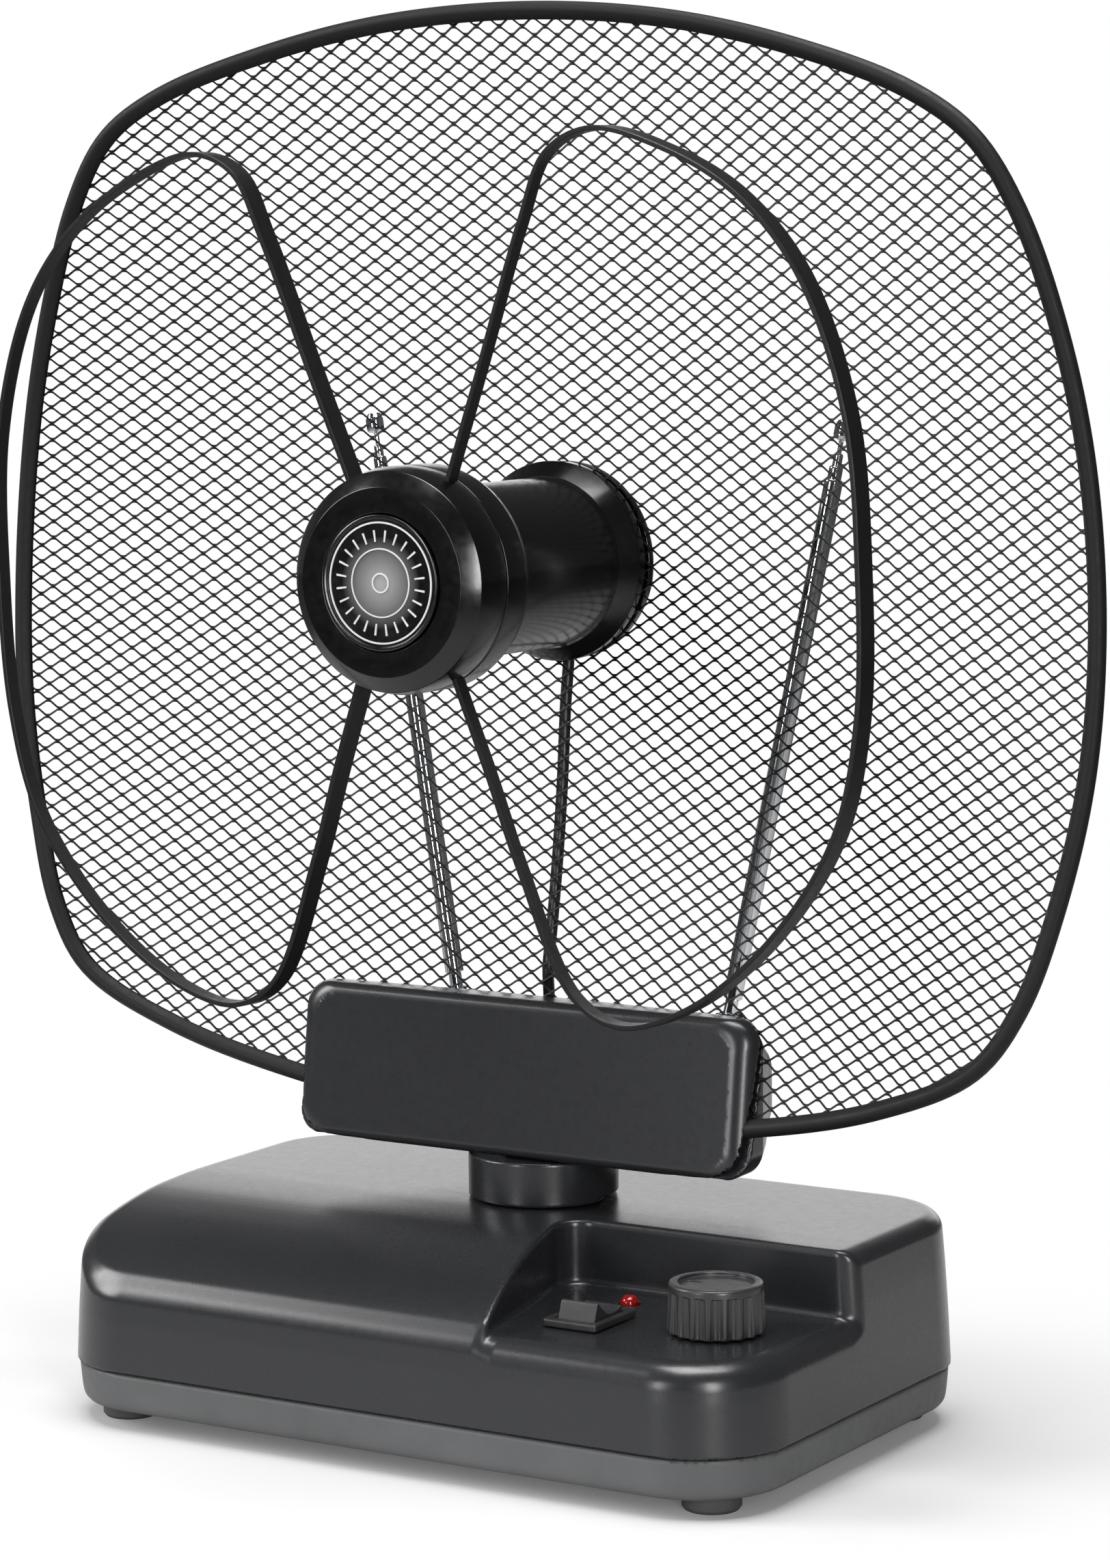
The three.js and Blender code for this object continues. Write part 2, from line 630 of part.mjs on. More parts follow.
let headFront = headBlock(HEAD_NOSE, 0, HEAD_LEAN, HEAD_FRONT)
  .subtract(headBlock(shift(HEAD_NOSE, HEAD_T), HEAD_T, HEAD_LEAN, HEAD_FRONT))
  .intersect(besideDish(-PARTING, -1));
let headRear = headBlock(HEAD_TAIL, 0, 0, 6)
  .subtract(headBlock(shift(HEAD_TAIL, -HEAD_T), HEAD_T, 0, 6))
  .intersect(besideDish(PARTING, 1));
for (const [x, z] of SCREWS) {
  headFront = headFront.add(
    discY(3.6, HEAD_FRONT + 5, 30, x, z, 16)
      .intersect(besideDish(-PARTING, -1))
      .subtract(discY(1.4, 7, 40, x, z, 10)),
  );
  headRear = headRear
    .add(discY(4.2, 5, 36, x, z, 16).intersect(besideDish(PARTING, 1)))
    .subtract(discY(1.9, 0, 60, x, z, 12))
    .subtract(discY(3.6, 26, 60, x, z, 16));
}
headFront = headFront.subtract(rimChannel);
const turretSeat = (side) =>
  discZ(7.2, EAR_PIVOT_Z - 9, EAR_PIVOT_Z - 4.5, side * EAR_AT[0], EAR_AT[1], 28);
const turretHole = (side) =>
  discZ(4.6, 80, 120, side * EAR_AT[0], EAR_AT[1], 24).add(
    discZ(6.9, EAR_PIVOT_Z - 4.5, 120, side * EAR_AT[0], EAR_AT[1], 28),
  );
headRear = headRear
  .subtract(rimChannel)
  .add(turretSeat(-1).add(turretSeat(1)))
  .subtract(turretHole(-1).add(turretHole(1)))
  .subtract(discZ(10.8, 60, 80, ...NECK_AT, 28)) // cable way into the neck
  .subtract(discZ(2.4, 95, 125, -1, 23, 14)); // coaxial lead from above
headFront = headFront.subtract(discZ(10.8, 60, 80, ...NECK_AT, 28));
add("head_front_shell", headFront, M.shell);
add("head_rear_shell", headRear, M.shell);
SCREWS.forEach(([x, z], i) =>
  add(
    `head_screw_${i + 1}`,
    turnedY([[0, 7.6], [1.05, 8.4], [1.05, 26.4], [3, 26.4], [3, 27.4], [2, 28], [0, 28]], x, z, 12),
    M.steel,
  ),
);
add("combiner_board", block(-34, 34, 24, 25.6, 76, 96), M.board);

// ---------------------------------------------------------------- boom
add(
  "boom_tube",
  turnedY([
    [20.6, -35.5], [BOOM_R, -35.5], [BOOM_R, 20.5], [FLANGE_R, 26], [FLANGE_R, 29], [7, 29], [7, 32.8],
    [1.6, 32.8], [1.6, 26.4], [20.6, 26.4], [20.6, -35.5],
  ]),
  M.gloss,
);
const leadHole = discZ(1.95, AXIS_Z - 32, AXIS_Z - 18, 0, 33.2, 14);
add(
  "boom_rear_cap",
  turnedY([
    [1.9, 37], [22, 37], [26, 35.6], [27, 33.4], [27, 31.3], [24.6, 31.3], [24.6, 33.8], [21.5, 34.8],
    [8.8, 34.8], [8.8, 31.3], [7.35, 31.3], [7.35, 33.15], [1.9, 33.15], [1.9, 37],
  ]).subtract(leadHole),
  M.gloss,
);
add(
  "boom_screw",
  turnedY([[0, 22], [1.2, 22.6], [1.2, 37.35], [3.4, 37.35], [3, 38.8], [0, 39.2]], 0, AXIS_Z, 16),
  M.steel,
);

// ---------------------------------------------------------------- loops and hub
// Middle of the front edge of the right loop about the boom axis: [x, z],
// from the upper root round to the lower.
const LOOP = [
  [9, 9], [15, 25], [27, 56], [40, 90], [48, 106.5], [61, 112], [82, 106], [102, 94], [118.5, 74],
  [130, 40], [132.3, 0], [130.5, -36], [123, -64], [104, -90], [80, -108], [60, -113.5], [46.5, -106.5],
  [32, -74], [23.7, -50], [16, -29], [10, -12],
];
const LOOP_STEPS = 64;
const loopCurve = new THREE.CatmullRomCurve3(
  LOOP.map(([x, z]) => new THREE.Vector3(x, 0, z)),
  false,
  "centripetal",
);
function loopStrip(side, grow) {
  const rows = [];
  const c = Math.cos(LOOP_ROLL);
  const s = Math.sin(LOOP_ROLL);
  const place = (x, y, z) => new THREE.Vector3(side * x * c - z * s, y, side * x * s + z * c + AXIS_Z);
  for (let i = 0; i <= LOOP_STEPS; i++) {
    const p = loopCurve.getPointAt(i / LOOP_STEPS);
    const t = loopCurve.getTangentAt(i / LOOP_STEPS);
    const out = { x: -t.z, z: t.x };
    const flare = STRIP_FLARE * Math.abs(out.x) * (STRIP_Y1 - STRIP_Y0);
    const half = STRIP_T / 2 + grow;
    const corner = (k, y, lift) => place(p.x + out.x * (k + lift), y, p.z + out.z * (k + lift));
    rows.push([
      corner(-half, STRIP_Y0 - grow, 0),
      corner(half, STRIP_Y0 - grow, 0),
      corner(half, STRIP_Y1 + grow, flare),
      corner(-half, STRIP_Y1 + grow, flare),
    ]);
  }
  return loft(rows);
}
add("loop_left", loopStrip(-1, 0), M.strip);
add("loop_right", loopStrip(1, 0), M.strip);
const stripSlots = loopStrip(-1, GAP).add(loopStrip(1, GAP));
add(
  "hub_body",
  turnedY([
    [BOOM_R + GAP, HUB_REAR_Y], [26.2, HUB_REAR_Y], [28.6, -32.4], [HUB_R, -35], [HUB_R, HUB_SPLIT_Y + 0.2],
    [27.2, HUB_SPLIT_Y + 0.2], [27.2, -33.4], [BOOM_R + GAP, -33.4], [BOOM_R + GAP, HUB_REAR_Y],
  ]).subtract(stripSlots),
  M.gloss,
);
add(
  "hub_bezel",
  turnedY([
    [0, -56.9], [17.9, -56.9], [17.9, HUB_FACE_Y], [24.2, HUB_FACE_Y], [28.5, -55], [29.4, -50],
    [HUB_R, HUB_SPLIT_Y - 0.2], [27.2, HUB_SPLIT_Y - 0.2], [27.2, -50], [26, -53], [22, -54.8], [0, -54.8],
  ]).subtract(stripSlots),
  M.gloss,
);
add(
  "hub_emblem",
  turnedY([[0, -57.2], [17.5, -57.2], [17.5, -58.9], [16.6, -58.9], [16.4, -58.4], [0, -58.4]]),
  M.face,
);
add("balun_board", discY(25, -40, -38.4, 0, AXIS_Z, 40), M.board);

// ---------------------------------------------------------------- coaxial lead behind the reflector
const leadRun = [[0, 33.2, -20], [0, 33.2, -27]];
for (const drop of [-40, -60, -80, -100, -111])
  leadRun.push([-0.5, dishY(0, AXIS_Z + drop) + 3.2, drop]);
leadRun.push([-1, 22.8, -118], [-1, 23.1, -124], [-1, 23.1, -134]);
add(
  "coax_lead",
  bar(leadRun.map(([x, y, z]) => new THREE.Vector3(x, y, AXIS_Z + z)), 1.6, 8),
  M.cable,
);

// ---------------------------------------------------------------- ears
// Built upright at the origin with the hinge along Y, then leaned and carried to its seat.
const SEAT_Z = -4.15; // top of the turret seat, from the hinge
function earPieces() {
  const turret = turnedZ(
    [
      [0, -13.5], [5.4, -13.5], [5.4, -12.2], [4.2, -11.6], [4.2, SEAT_Z], [6.4, SEAT_Z], [6.4, -3.4],
      [5.8, 0.6], [4.6, 2.6], [0, 3.4],
    ],
    0,
    0,
    20,
  )
    .subtract(block(-9, 9, -2.25, 2.25, -3, 9))
    .subtract(block(-9, 9, -9, -4.2, -3.4, 9))
    .subtract(block(-9, 9, 4.2, 9, -3.4, 9))
    .subtract(discY(1.55, -9, 9, 0, 0, 12));
  const pin = discY(1.2, -4.6, 4.6, 0, 0, 12);
  const eye = discY(2.6, -1.9, 1.9, 0, 0, 16)
    .add(discZ(1.8, 0, 8, 0, 0, 12))
    .subtract(discY(1.55, -5, 5, 0, 0, 12));
  const tube = (outer, inner, from, to) => ringZ(inner, outer, from, to, 0, 0, 14);
  // the tube proper starts clear of the turret, so that it can lie right over
  const outer = eye.add(discZ(2.6, 7.4, 9.4, 0, 0, 14)).add(tube(2.6, 2.3, 8.6, EAR_TUBE_L));
  const second = tube(1.95, 1.65, 10, EAR_TUBE_L + 3.5);
  const third = tube(1.3, 1, 11, EAR_TUBE_L + 7);
  const tip = turnedZ(
    [[0, 12], [0.65, 12], [0.65, EAR_TUBE_L + 10.4], [2.2, EAR_TUBE_L + 10.9], [2.6, EAR_TUBE_L + 12],
     [2.6, EAR_TUBE_L + 14.6], [1.8, EAR_TUBE_L + 16], [0, EAR_TUBE_L + 16.4]],
    0,
    0,
    14,
  );
  return { turret, pin, outer, second, third, tip };
}
const ear = earPieces();
for (const [side, tag] of [[-1, "left"], [1, "right"]]) {
  const seat = new THREE.Matrix4()
    .makeTranslation(side * EAR_AT[0], EAR_AT[1], EAR_PIVOT_Z)
    .multiply(turnedAbout(Z, side * EAR_TURN));
  const lean = seat.clone().multiply(turnedAbout(Y, side * EAR_LEAN));
  add(`ear_turret_${tag}`, moved(ear.turret, seat), M.chrome);
  add(`ear_pin_${tag}`, moved(ear.pin, seat), M.steel);
  add(`ear_tube_outer_${tag}`, moved(ear.outer, lean), M.chrome);
  add(`ear_tube_middle_${tag}`, moved(ear.second, lean), M.chrome);
  add(`ear_tube_inner_${tag}`, moved(ear.third, lean), M.chrome);
  add(`ear_tip_rod_${tag}`, moved(ear.tip, lean), M.chrome);
}

root.updateMatrixWorld(true);
export default root;
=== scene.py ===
"""Looks of the tabletop television antenna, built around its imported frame.

Lengths in this file are millimetres unless a name ends in _m; every mesh is scaled to metres
when it is made. +Z is up, the loops face -Y, +X is the right side seen from the front.
"""
import math

import bmesh
import bpy
import numpy as np
from mathutils import Matrix, Vector


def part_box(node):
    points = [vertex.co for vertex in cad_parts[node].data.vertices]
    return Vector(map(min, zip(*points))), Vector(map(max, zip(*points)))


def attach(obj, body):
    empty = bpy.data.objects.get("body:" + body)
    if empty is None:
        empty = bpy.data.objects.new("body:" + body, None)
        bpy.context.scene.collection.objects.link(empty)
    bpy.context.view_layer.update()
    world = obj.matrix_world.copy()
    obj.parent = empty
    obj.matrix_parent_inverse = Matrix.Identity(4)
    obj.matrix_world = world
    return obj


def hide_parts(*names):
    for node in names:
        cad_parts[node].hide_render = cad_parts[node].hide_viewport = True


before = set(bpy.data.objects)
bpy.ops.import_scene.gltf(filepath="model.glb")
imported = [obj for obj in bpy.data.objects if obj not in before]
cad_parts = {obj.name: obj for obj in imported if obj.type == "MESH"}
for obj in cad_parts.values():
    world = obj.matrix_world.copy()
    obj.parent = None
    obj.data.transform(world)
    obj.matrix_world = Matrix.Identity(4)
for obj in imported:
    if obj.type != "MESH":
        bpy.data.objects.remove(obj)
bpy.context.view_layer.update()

MM = 0.001

# ------------------------------------------------------------------ driving dimensions
BASE_W, BASE_FRONT, BASE_BACK = 219, -68.5, 68.5
SEAM_Z, TRAY_Z, TOP_Z = 16, 4.8, 58
FLOOR_Z, WALL_Y, WALL_X, WALL_X_FRONT, RECESS_R = 40, -4, 20, 34, 9
LED_AT, SWITCH_AT, KNOB_AT = (47, -15.8), (48.4, -38.4), (82.5, -32)
LAMP_R, KNOB_R, KNOB_FLUTES = 2.5, 12.8, 18
OUTPUT_AT, INLET_AT = (-62, 31), (-38, 31)  # x and z of the jacks in the rear wall
NECK_AT, NECK_R, NECK_TOP, STUD_R, STUD_BORE_R = (0, 17.5), 20.6, 70.6, 10.4, 10.8
HEAD_W, HEAD_Z0, HEAD_Z1, HEAD_LEAN, HEAD_FRONT = 72.4, 71, 113.6, 0.13, 0.4
HEAD_CORNER_R, HEAD_SIDE_ROUND, HEAD_EDGE_ROUND = 7.5, 6.5, 3
AXIS_Z, DISH_Y, DISH_CX, DISH_CZ, SHEET_T, RIM_R = 231.6, 30.5, 7.4e-4, 9.7e-4, 0.8, 2.15
REFLECTOR_ROLL, LOOP_ROLL = math.radians(-1), math.radians(2)
BOOM_R, FLANGE_R, LEAD_R, EMBLEM_Y = 23, 27.2, 1.6, -58
STRIP_T, STRIP_Y0, STRIP_Y1, STRIP_FLARE = 1.3, -48.8, -43, 0.16
STRIP_DEPTH = STRIP_Y1 - STRIP_Y0
EAR_AT, EAR_PIVOT_Z, EAR_TUBE_L = (43.8, 43), 105, 152
EAR_LEAN, EAR_TURN = math.radians(11.4), math.radians(15.4)

# Plan levels of the upper shell: z, half width, front y, back y, corner radius.
PLAN = [(16, 109.5, -68.5, 68.5, 27), (30, 109, -68, 68, 27), (44, 108.2, -67, 67.2, 26.5),
        (58, 107.2, -66, 66.2, 26)]
# Side view of the slope that runs down to the front: y, z.
RAMP = [(-80, 26), (-75, 31), (-65.6, 40.2), (-61.5, 44), (-54, 48), (-45, 51.5), (-34, 54.5),
        (-21, 56.8), (-6, 57.8), (6, 58), (20, 58), (80, 58)]
FEET_AT = [(sx * 91.5, sy * 50.5) for sx in (-1, 1) for sy in (-1, 1)]
SCREWS_AT = [(-70, -56), (70, -56), (-84, 36), (84, 36)]
# Levels of the tray: z, inset, front corner radius.
TRAY = [(4.8, 3.6, 23), (5.8, 2.4, 24.2), (8, 1.4, 25.5), (15.85, 0.6, 26.5)]
TRAY_TOP = TRAY[-1][0]
# Sections of the rear of the head: depth, side inset, top drop, bottom lift.
HEAD_TAIL = [(-12, 0, 0, 0), (6, 0.4, 0.6, 0.2), (17, 5.5, 5, 0.8), (34, 14.4, 10.5, 1.6),
             (46, 19.8, 14, 3), (50, 24, 17, 6)]
# Right half of the rim's centre line about the boom axis: x, z.
HALF_RIM = [
    (0, 147.2), (44, 144.4), (83, 136.5), (117.5, 125), (135.3, 113.4), (147.4, 95.2), (158.4, 65.4),
    (165.9, 32.6), (169.6, -8), (168.3, -45.6), (161.9, -79.3), (153.5, -105), (141.5, -121.9),
    (112.3, -135.9), (71.5, -145.8), (36, -149.8), (0, -150.9),
]
# Middle of the front edge of the right loop about the boom axis: x, z.
LOOP = [
    (9, 9), (15, 25), (27, 56), (40, 90), (48, 106.5), (61, 112), (82, 106), (102, 94), (118.5, 74),
    (130, 40), (132.3, 0), (130.5, -36), (123, -64), (104, -90), (80, -108), (60, -113.5), (46.5, -106.5),
    (32, -74), (23.7, -50), (16, -29), (10, -12),
]


# ------------------------------------------------------------------ materials
def node_tree(name):
    made = bpy.data.materials.new(name)
    made.use_nodes = True
    tree = made.node_tree
    return made, tree, tree.nodes["Principled BSDF"]


def noise(tree, scale, detail=3.0, rough=0.5, stretch=(1, 1, 1)):
    where = tree.nodes.new("ShaderNodeTexCoord")
    turn = tree.nodes.new("ShaderNodeMapping")
    turn.inputs["Scale"].default_value = stretch
    tree.links.new(where.outputs["Object"], turn.inputs["Vector"])
    tex = tree.nodes.new("ShaderNodeTexNoise")
    tex.inputs["Scale"].default_value = scale
    tex.inputs["Detail"].default_value = detail
    tex.inputs["Roughness"].default_value = rough
    tree.links.new(turn.outputs["Vector"], tex.inputs["Vector"])
    return tex.outputs["Fac"]


def ranged(tree, source, low, high, out_low, out_high):
    node = tree.nodes.new("ShaderNodeMapRange")
    for key, value in (("From Min", low), ("From Max", high), ("To Min", out_low), ("To Max", out_high)):
        node.inputs[key].default_value = value
    tree.links.new(source, node.inputs["Value"])
    return node.outputs["Result"]


def blended(tree, factor, a, b):
    node = tree.nodes.new("ShaderNodeMix")
    node.data_type = "RGBA"
    tree.links.new(factor, node.inputs["Factor"])
    for socket, value in ((node.inputs["A"], a), (node.inputs["B"], b)):
        if isinstance(value, tuple):
            socket.default_value = (*value, 1)
        else:
            tree.links.new(value, socket)
    return node.outputs["Result"]


def distance_from(tree, centre):
    where = tree.nodes.new("ShaderNodeTexCoord")
    shift = tree.nodes.new("ShaderNodeVectorMath")
    shift.operation = "SUBTRACT"
    shift.inputs[1].default_value = centre
    away = tree.nodes.new("ShaderNodeVectorMath")
    away.operation = "LENGTH"
    tree.links.new(where.outputs["Object"], shift.inputs[0])
    tree.links.new(shift.outputs["Vector"], away.inputs[0])
    return away.outputs["Value"]


def bumped(tree, height, strength, depth, below=None):
    node = tree.nodes.new("ShaderNodeBump")
    node.inputs["Strength"].default_value = strength
    node.inputs["Distance"].default_value = depth * MM
    tree.links.new(height, node.inputs["Height"])
    if below:
        tree.links.new(below, node.inputs["Normal"])
    return node.outputs["Normal"]


def tint(colour, factor):
    return tuple(min(1.0, c * factor) for c in colour)


def finish(name, colour, rough, metal=0.0, grain=2400, grain_depth=0.012, vary=0.12, rough_vary=0.06,
           coat=0.0, stretch=(1, 1, 1), speckle=0.0, specular=0.5, painted_glow=None):
    """A surface with mottled colour and roughness and a fine grain bump.

    painted_glow is the radius and the level of a paler middle about the boom axis, a glow of light painted
    into the colour.
    """
    made, tree, shader = node_tree(name)
    broad = noise(tree, 38, 4, 0.6)
    fine = noise(tree, grain, 2, 0.6, stretch)
    mid = noise(tree, 420, 3, 0.6, stretch)
    base = blended(tree, ranged(tree, broad, 0.3, 0.7, 0, 1), tint(colour, 1 - vary),
                   tint(colour, 1 + vary))
    # painted glow: the colour turns paler towards the boom axis to stand in for light on the face
    if painted_glow:
        radius, level = painted_glow
        painted_glow_mask = ranged(tree, distance_from(tree, (0, EMBLEM_Y * MM, AXIS_Z * MM)), 0, radius * MM, 1, 0)
        base = blended(tree, painted_glow_mask, base, (level, level, level))
    tree.links.new(base, shader.inputs["Base Color"])
    tree.links.new(
        ranged(tree, mid, 0.3, 0.7, max(0.02, rough - rough_vary), rough + rough_vary),
        shader.inputs["Roughness"],
    )
    surface = bumped(tree, fine, 0.6, grain_depth)
    if speckle:
        surface = bumped(tree, noise(tree, 900, 2, 0.5), speckle, 0.05, surface)
    tree.links.new(surface, shader.inputs["Normal"])
    shader.inputs["Metallic"].default_value = metal
    shader.inputs["IOR"].default_value = 1.46
    shader.inputs["Coat Weight"].default_value = coat
    shader.inputs["Coat Roughness"].default_value = 0.08
    shader.inputs["Specular IOR Level"].default_value = specular
    made.diffuse_color = (*colour, 1)
    return made


MAT = {
    "shell": finish("satin_shell", (0.0115, 0.012, 0.0135), 0.28, grain=2600, grain_depth=0.003, vary=0.06,
                    rough_vary=0.015, specular=0.5),
    "tray": finish("matte_tray", (0.066, 0.067, 0.069), 0.55, grain=2200, grain_depth=0.03),
    "gloss": finish("gloss_black", (0.0018, 0.0018, 0.002), 0.2, grain=1500, grain_depth=0.006,
                    rough_vary=0.04, speckle=0.08, coat=0.1, specular=0.4),
    "rubber": finish("rubber_foot", (0.045, 0.045, 0.046), 0.75, grain=1600, grain_depth=0.05, vary=0.2),
    "steel": finish("plain_steel", (0.42, 0.43, 0.44), 0.34, metal=1, grain=1800, stretch=(1, 1, 0.1)),
    "board": finish("green_board", (0.02, 0.12, 0.045), 0.4, coat=0.5),
    "chrome": finish("polished_chrome", (0.52, 0.53, 0.55), 0.08, metal=1, grain=900, grain_depth=0.002,
                     vary=0.04, rough_vary=0.03),
    "brass": finish("plain_brass", (0.56, 0.42, 0.16), 0.3, metal=1),
    "knob": finish("knob_plastic", (0.020, 0.0205, 0.0215), 0.33, grain=2400, grain_depth=0.02),
    "rocker": finish("rocker_plastic", (0.016, 0.016, 0.0175), 0.42, grain=2400, grain_depth=0.02),
    "bezel": finish("bezel_plastic", (0.014, 0.014, 0.015), 0.4, grain=2400, grain_depth=0.01),
    "lens": finish("red_lens", (0.20, 0.002, 0.0015), 0.16, grain=600, grain_depth=0.001, coat=0.2),
    "wire": finish("wire_paint", (0.003, 0.003, 0.0032), 0.45, grain=2600, grain_depth=0.02, vary=0.25,
                   specular=0.2),
    "rim": finish("rim_vinyl", (0.006, 0.006, 0.0065), 0.55, grain=1800, grain_depth=0.01, specular=0.22),
    "strip": finish("strip_paint", (0.007, 0.007, 0.0075), 0.40, grain=2200, grain_depth=0.012,
                    specular=0.22),
    "cable": finish("cable_jacket", (0.003, 0.003, 0.003), 0.40, grain=1500, grain_depth=0.02),
    # the emblem's face has a painted glow, a paler middle standing in for light
    "face": finish("emblem_face", (0.002, 0.002, 0.0025), 0.2, grain=1600, grain_depth=0.008, coat=0.2,
                   painted_glow=(12, 0.28)),
    "print": finish("emblem_print", (0.50, 0.51, 0.52), 0.45, grain=2200, grain_depth=0.006, vary=0.06),
}


# ------------------------------------------------------------------ meshes
def piece(name, verts, faces, finish_key, body, replaces=(), normals=None, matrix=None, sharp=35):
    """An object in the frame from points in millimetres, riding on a body."""
    mesh = bpy.data.meshes.new(name)
    mesh.from_pydata((np.asarray(verts, float) * MM).tolist(), [], faces)
    if normals is None:
        work = bmesh.new()
        work.from_mesh(mesh)
        bmesh.ops.remove_doubles(work, verts=work.verts, dist=2e-6)
        bmesh.ops.recalc_face_normals(work, faces=work.faces)
        work.to_mesh(mesh)
        work.free()
    if matrix is not None:
        mesh.transform(matrix)
    mesh.shade_smooth()
    if normals is None:
        mesh.set_sharp_from_angle(angle=math.radians(sharp))
    else:
        if matrix is not None:
            normals = normals @ np.array(matrix.to_3x3()).T
        mesh.normals_split_custom_set_from_vertices(normals.tolist())
    mesh.materials.append(MAT[finish_key])
    made = bpy.data.objects.new(name, mesh)
    bpy.context.scene.collection.objects.link(made)
    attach(made, body)
    if replaces:
        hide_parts(*replaces)
    return made


def curve_points(points, per, closed):
    """Centripetal Catmull-Rom through the points."""
    p = np.array(points, float)
    n = len(p)
    out = []
    for i in range(n if closed else n - 1):
        if closed:
            q = [p[(i + k) % n] for k in (-1, 0, 1, 2)]
        else:
            q = [p[i - 1] if i else 2 * p[0] - p[1], p[i], p[i + 1],
                 p[i + 2] if i + 2 < n else 2 * p[-1] - p[-2]]
        t = [0.0]
        for k in range(3):
            t.append(t[-1] + max(1e-6, math.sqrt(np.linalg.norm(q[k + 1] - q[k]))))
        for s in np.arange(per) / per:
            u = t[1] + (t[2] - t[1]) * s
            a = [q[k] + (q[k + 1] - q[k]) * ((u - t[k]) / (t[k + 1] - t[k])) for k in range(3)]
            b = [a[k] + (a[k + 1] - a[k]) * ((u - t[k]) / (t[k + 2] - t[k])) for k in range(2)]
            out.append(b[0] + (b[1] - b[0]) * ((u - t[1]) / (t[2] - t[1])))
    if not closed:
        out.append(p[-1])
    return np.array(out)


def even_points(points, count, closed):
    """The same line walked in equal steps."""
    p = np.vstack([points, points[:1]]) if closed else points
    run = np.concatenate([[0], np.cumsum(np.linalg.norm(np.diff(p, axis=0), axis=1))])
    at = np.linspace(0, run[-1], count + 1)[: count if closed else count + 1]
    return np.stack([np.interp(at, run, p[:, k]) for k in range(p.shape[1])], axis=1)


def unit(vectors):
    return vectors / np.linalg.norm(vectors, axis=1)[:, None]


def grid_faces(rows, columns, close_rows, close_columns):
    faces = []
    for i in range(rows if close_rows else rows - 1):
        a, b = i * columns, ((i + 1) % rows) * columns
        for j in range(columns if close_columns else columns - 1):
            k = (j + 1) % columns
            faces.append((a + j, b + j, b + k, a + k))
    return faces


def swept(rows, closed):
    """Verts and faces of a tube through rows of equal sections, capped unless closed."""
    rows = np.asarray(rows)
    count, n = rows.shape[:2]
    faces = grid_faces(count, n, closed, True)
    if not closed:
        faces += [tuple(range(n)), tuple(range(count * n - 1, count * n - n - 1, -1))]
    return rows.reshape(-1, 3), faces


def rounded(profile, radius, steps=4):
    """A profile with every corner turned into an arc; the two ends stay."""
    out = [profile[0]]
    for a, b, c in zip(profile, profile[1:], profile[2:]):
        a, b, c = (np.array(q, float) for q in (a, b, c))
        u, v = a - b, c - b
        lu, lv = np.linalg.norm(u), np.linalg.norm(v)
        if min(lu, lv) < 1e-6:
            continue
        u, v = u / lu, v / lv
        half = math.acos(max(-1, min(1, float(u @ v)))) / 2
        if half > 1.45:
            out.append(tuple(b))
            continue
        cut = min(radius / math.tan(half), 0.45 * lu, 0.45 * lv)
        for s in np.linspace(0, 1, steps + 1):
            p, q = b + u * cut, b + v * cut
            out.append(tuple((1 - s) ** 2 * p + 2 * s * (1 - s) * b + s * s * q))
    out.append(profile[-1])
    return out


def turned(profile, axis, centre, segments=96, radius=0.4):
    """Verts and faces of a profile of radius and height pairs turned about Y or Z."""
    line = rounded(profile, radius) if radius else profile
    verts = []
    for r, h in line:
        for i in range(segments):
            t = 2 * math.pi * i / segments
            c, s = r * math.cos(t), r * math.sin(t)
            u, v = centre[0] + c, centre[1] + s
            verts.append((u, h, v) if axis == "Y" else (u, v, h))
    return verts, grid_faces(len(line), segments, False, True)


# ------------------------------------------------------------------ blended solids
def smax(a, b, k):
    h = np.maximum(k - np.abs(a - b), 0) / k
    return np.maximum(a, b) + h * h * k / 4


def smin(a, b, k):
    return -smax(-a, -b, k)


def corner_max(a, b, r):
    """Both conditions at once, with a true round of radius r where they meet."""
    a, b = a + r, b + r
    return np.minimum(np.maximum(a, b), 0) + np.hypot(np.maximum(a, 0), np.maximum(b, 0)) - r


def rect2(u, v, u0, u1, v0, v1, r):
    return corner_max(np.abs(u - (u0 + u1) / 2) - (u1 - u0) / 2,
                      np.abs(v - (v0 + v1) / 2) - (v1 - v0) / 2, r)


def slab(u, a, b):
    return np.maximum(a - u, u - b)


def round2(u, v, centre, r):
    return np.hypot(u - centre[0], v - centre[1]) - r


def table(rows, per=8):
    """Rows of numbers, filled in smoothly between; the first column is what they are read by."""
    p = np.array(rows, float)
    out = []
    for i in range(len(p) - 1):
        a, b, c, d = p[max(i - 1, 0)], p[i], p[i + 1], p[min(i + 2, len(p) - 1)]
        for s in np.arange(per) / per:
            out.append(0.5 * (2 * b + (c - a) * s + (2 * a - 5 * b + 4 * c - d) * s ** 2
                              + (3 * b - a - 3 * c + d) * s ** 3))
    out.append(p[-1])
    out = np.array(out)
    return out[np.argsort(out[:, 0])]


def read(rows, at):
    return [np.interp(at, rows[:, 0], rows[:, k]) for k in range(1, rows.shape[1])]


CORNERS = np.array([(i, j, k) for i in (0, 1) for j in (0, 1) for k in (0, 1)])
EDGES = [(a, b) for a in range(8) for b in range(a + 1, 8) if abs(CORNERS[a] - CORNERS[b]).sum() == 1]


def gradient(f, p, e=0.03):
    g = np.empty_like(p)
    for k in range(3):
        d = np.zeros(3)
        d[k] = e
        high, low = p + d, p - d
        g[:, k] = (f(*high.T) - f(*low.T)) / (2 * e)
    return g


def settle(f, p, step, rounds):
    """The points walked down the slope of f onto its zero surface."""
    for _ in range(rounds):
        g = gradient(f, p)
        v = f(*p.T)
        move = g * (v / np.maximum((g * g).sum(1), 0.05))[:, None]
        length = np.linalg.norm(move, axis=1)
        p = p - move * np.minimum(1, 0.6 * step / np.maximum(length, 1e-9))[:, None]
    return p


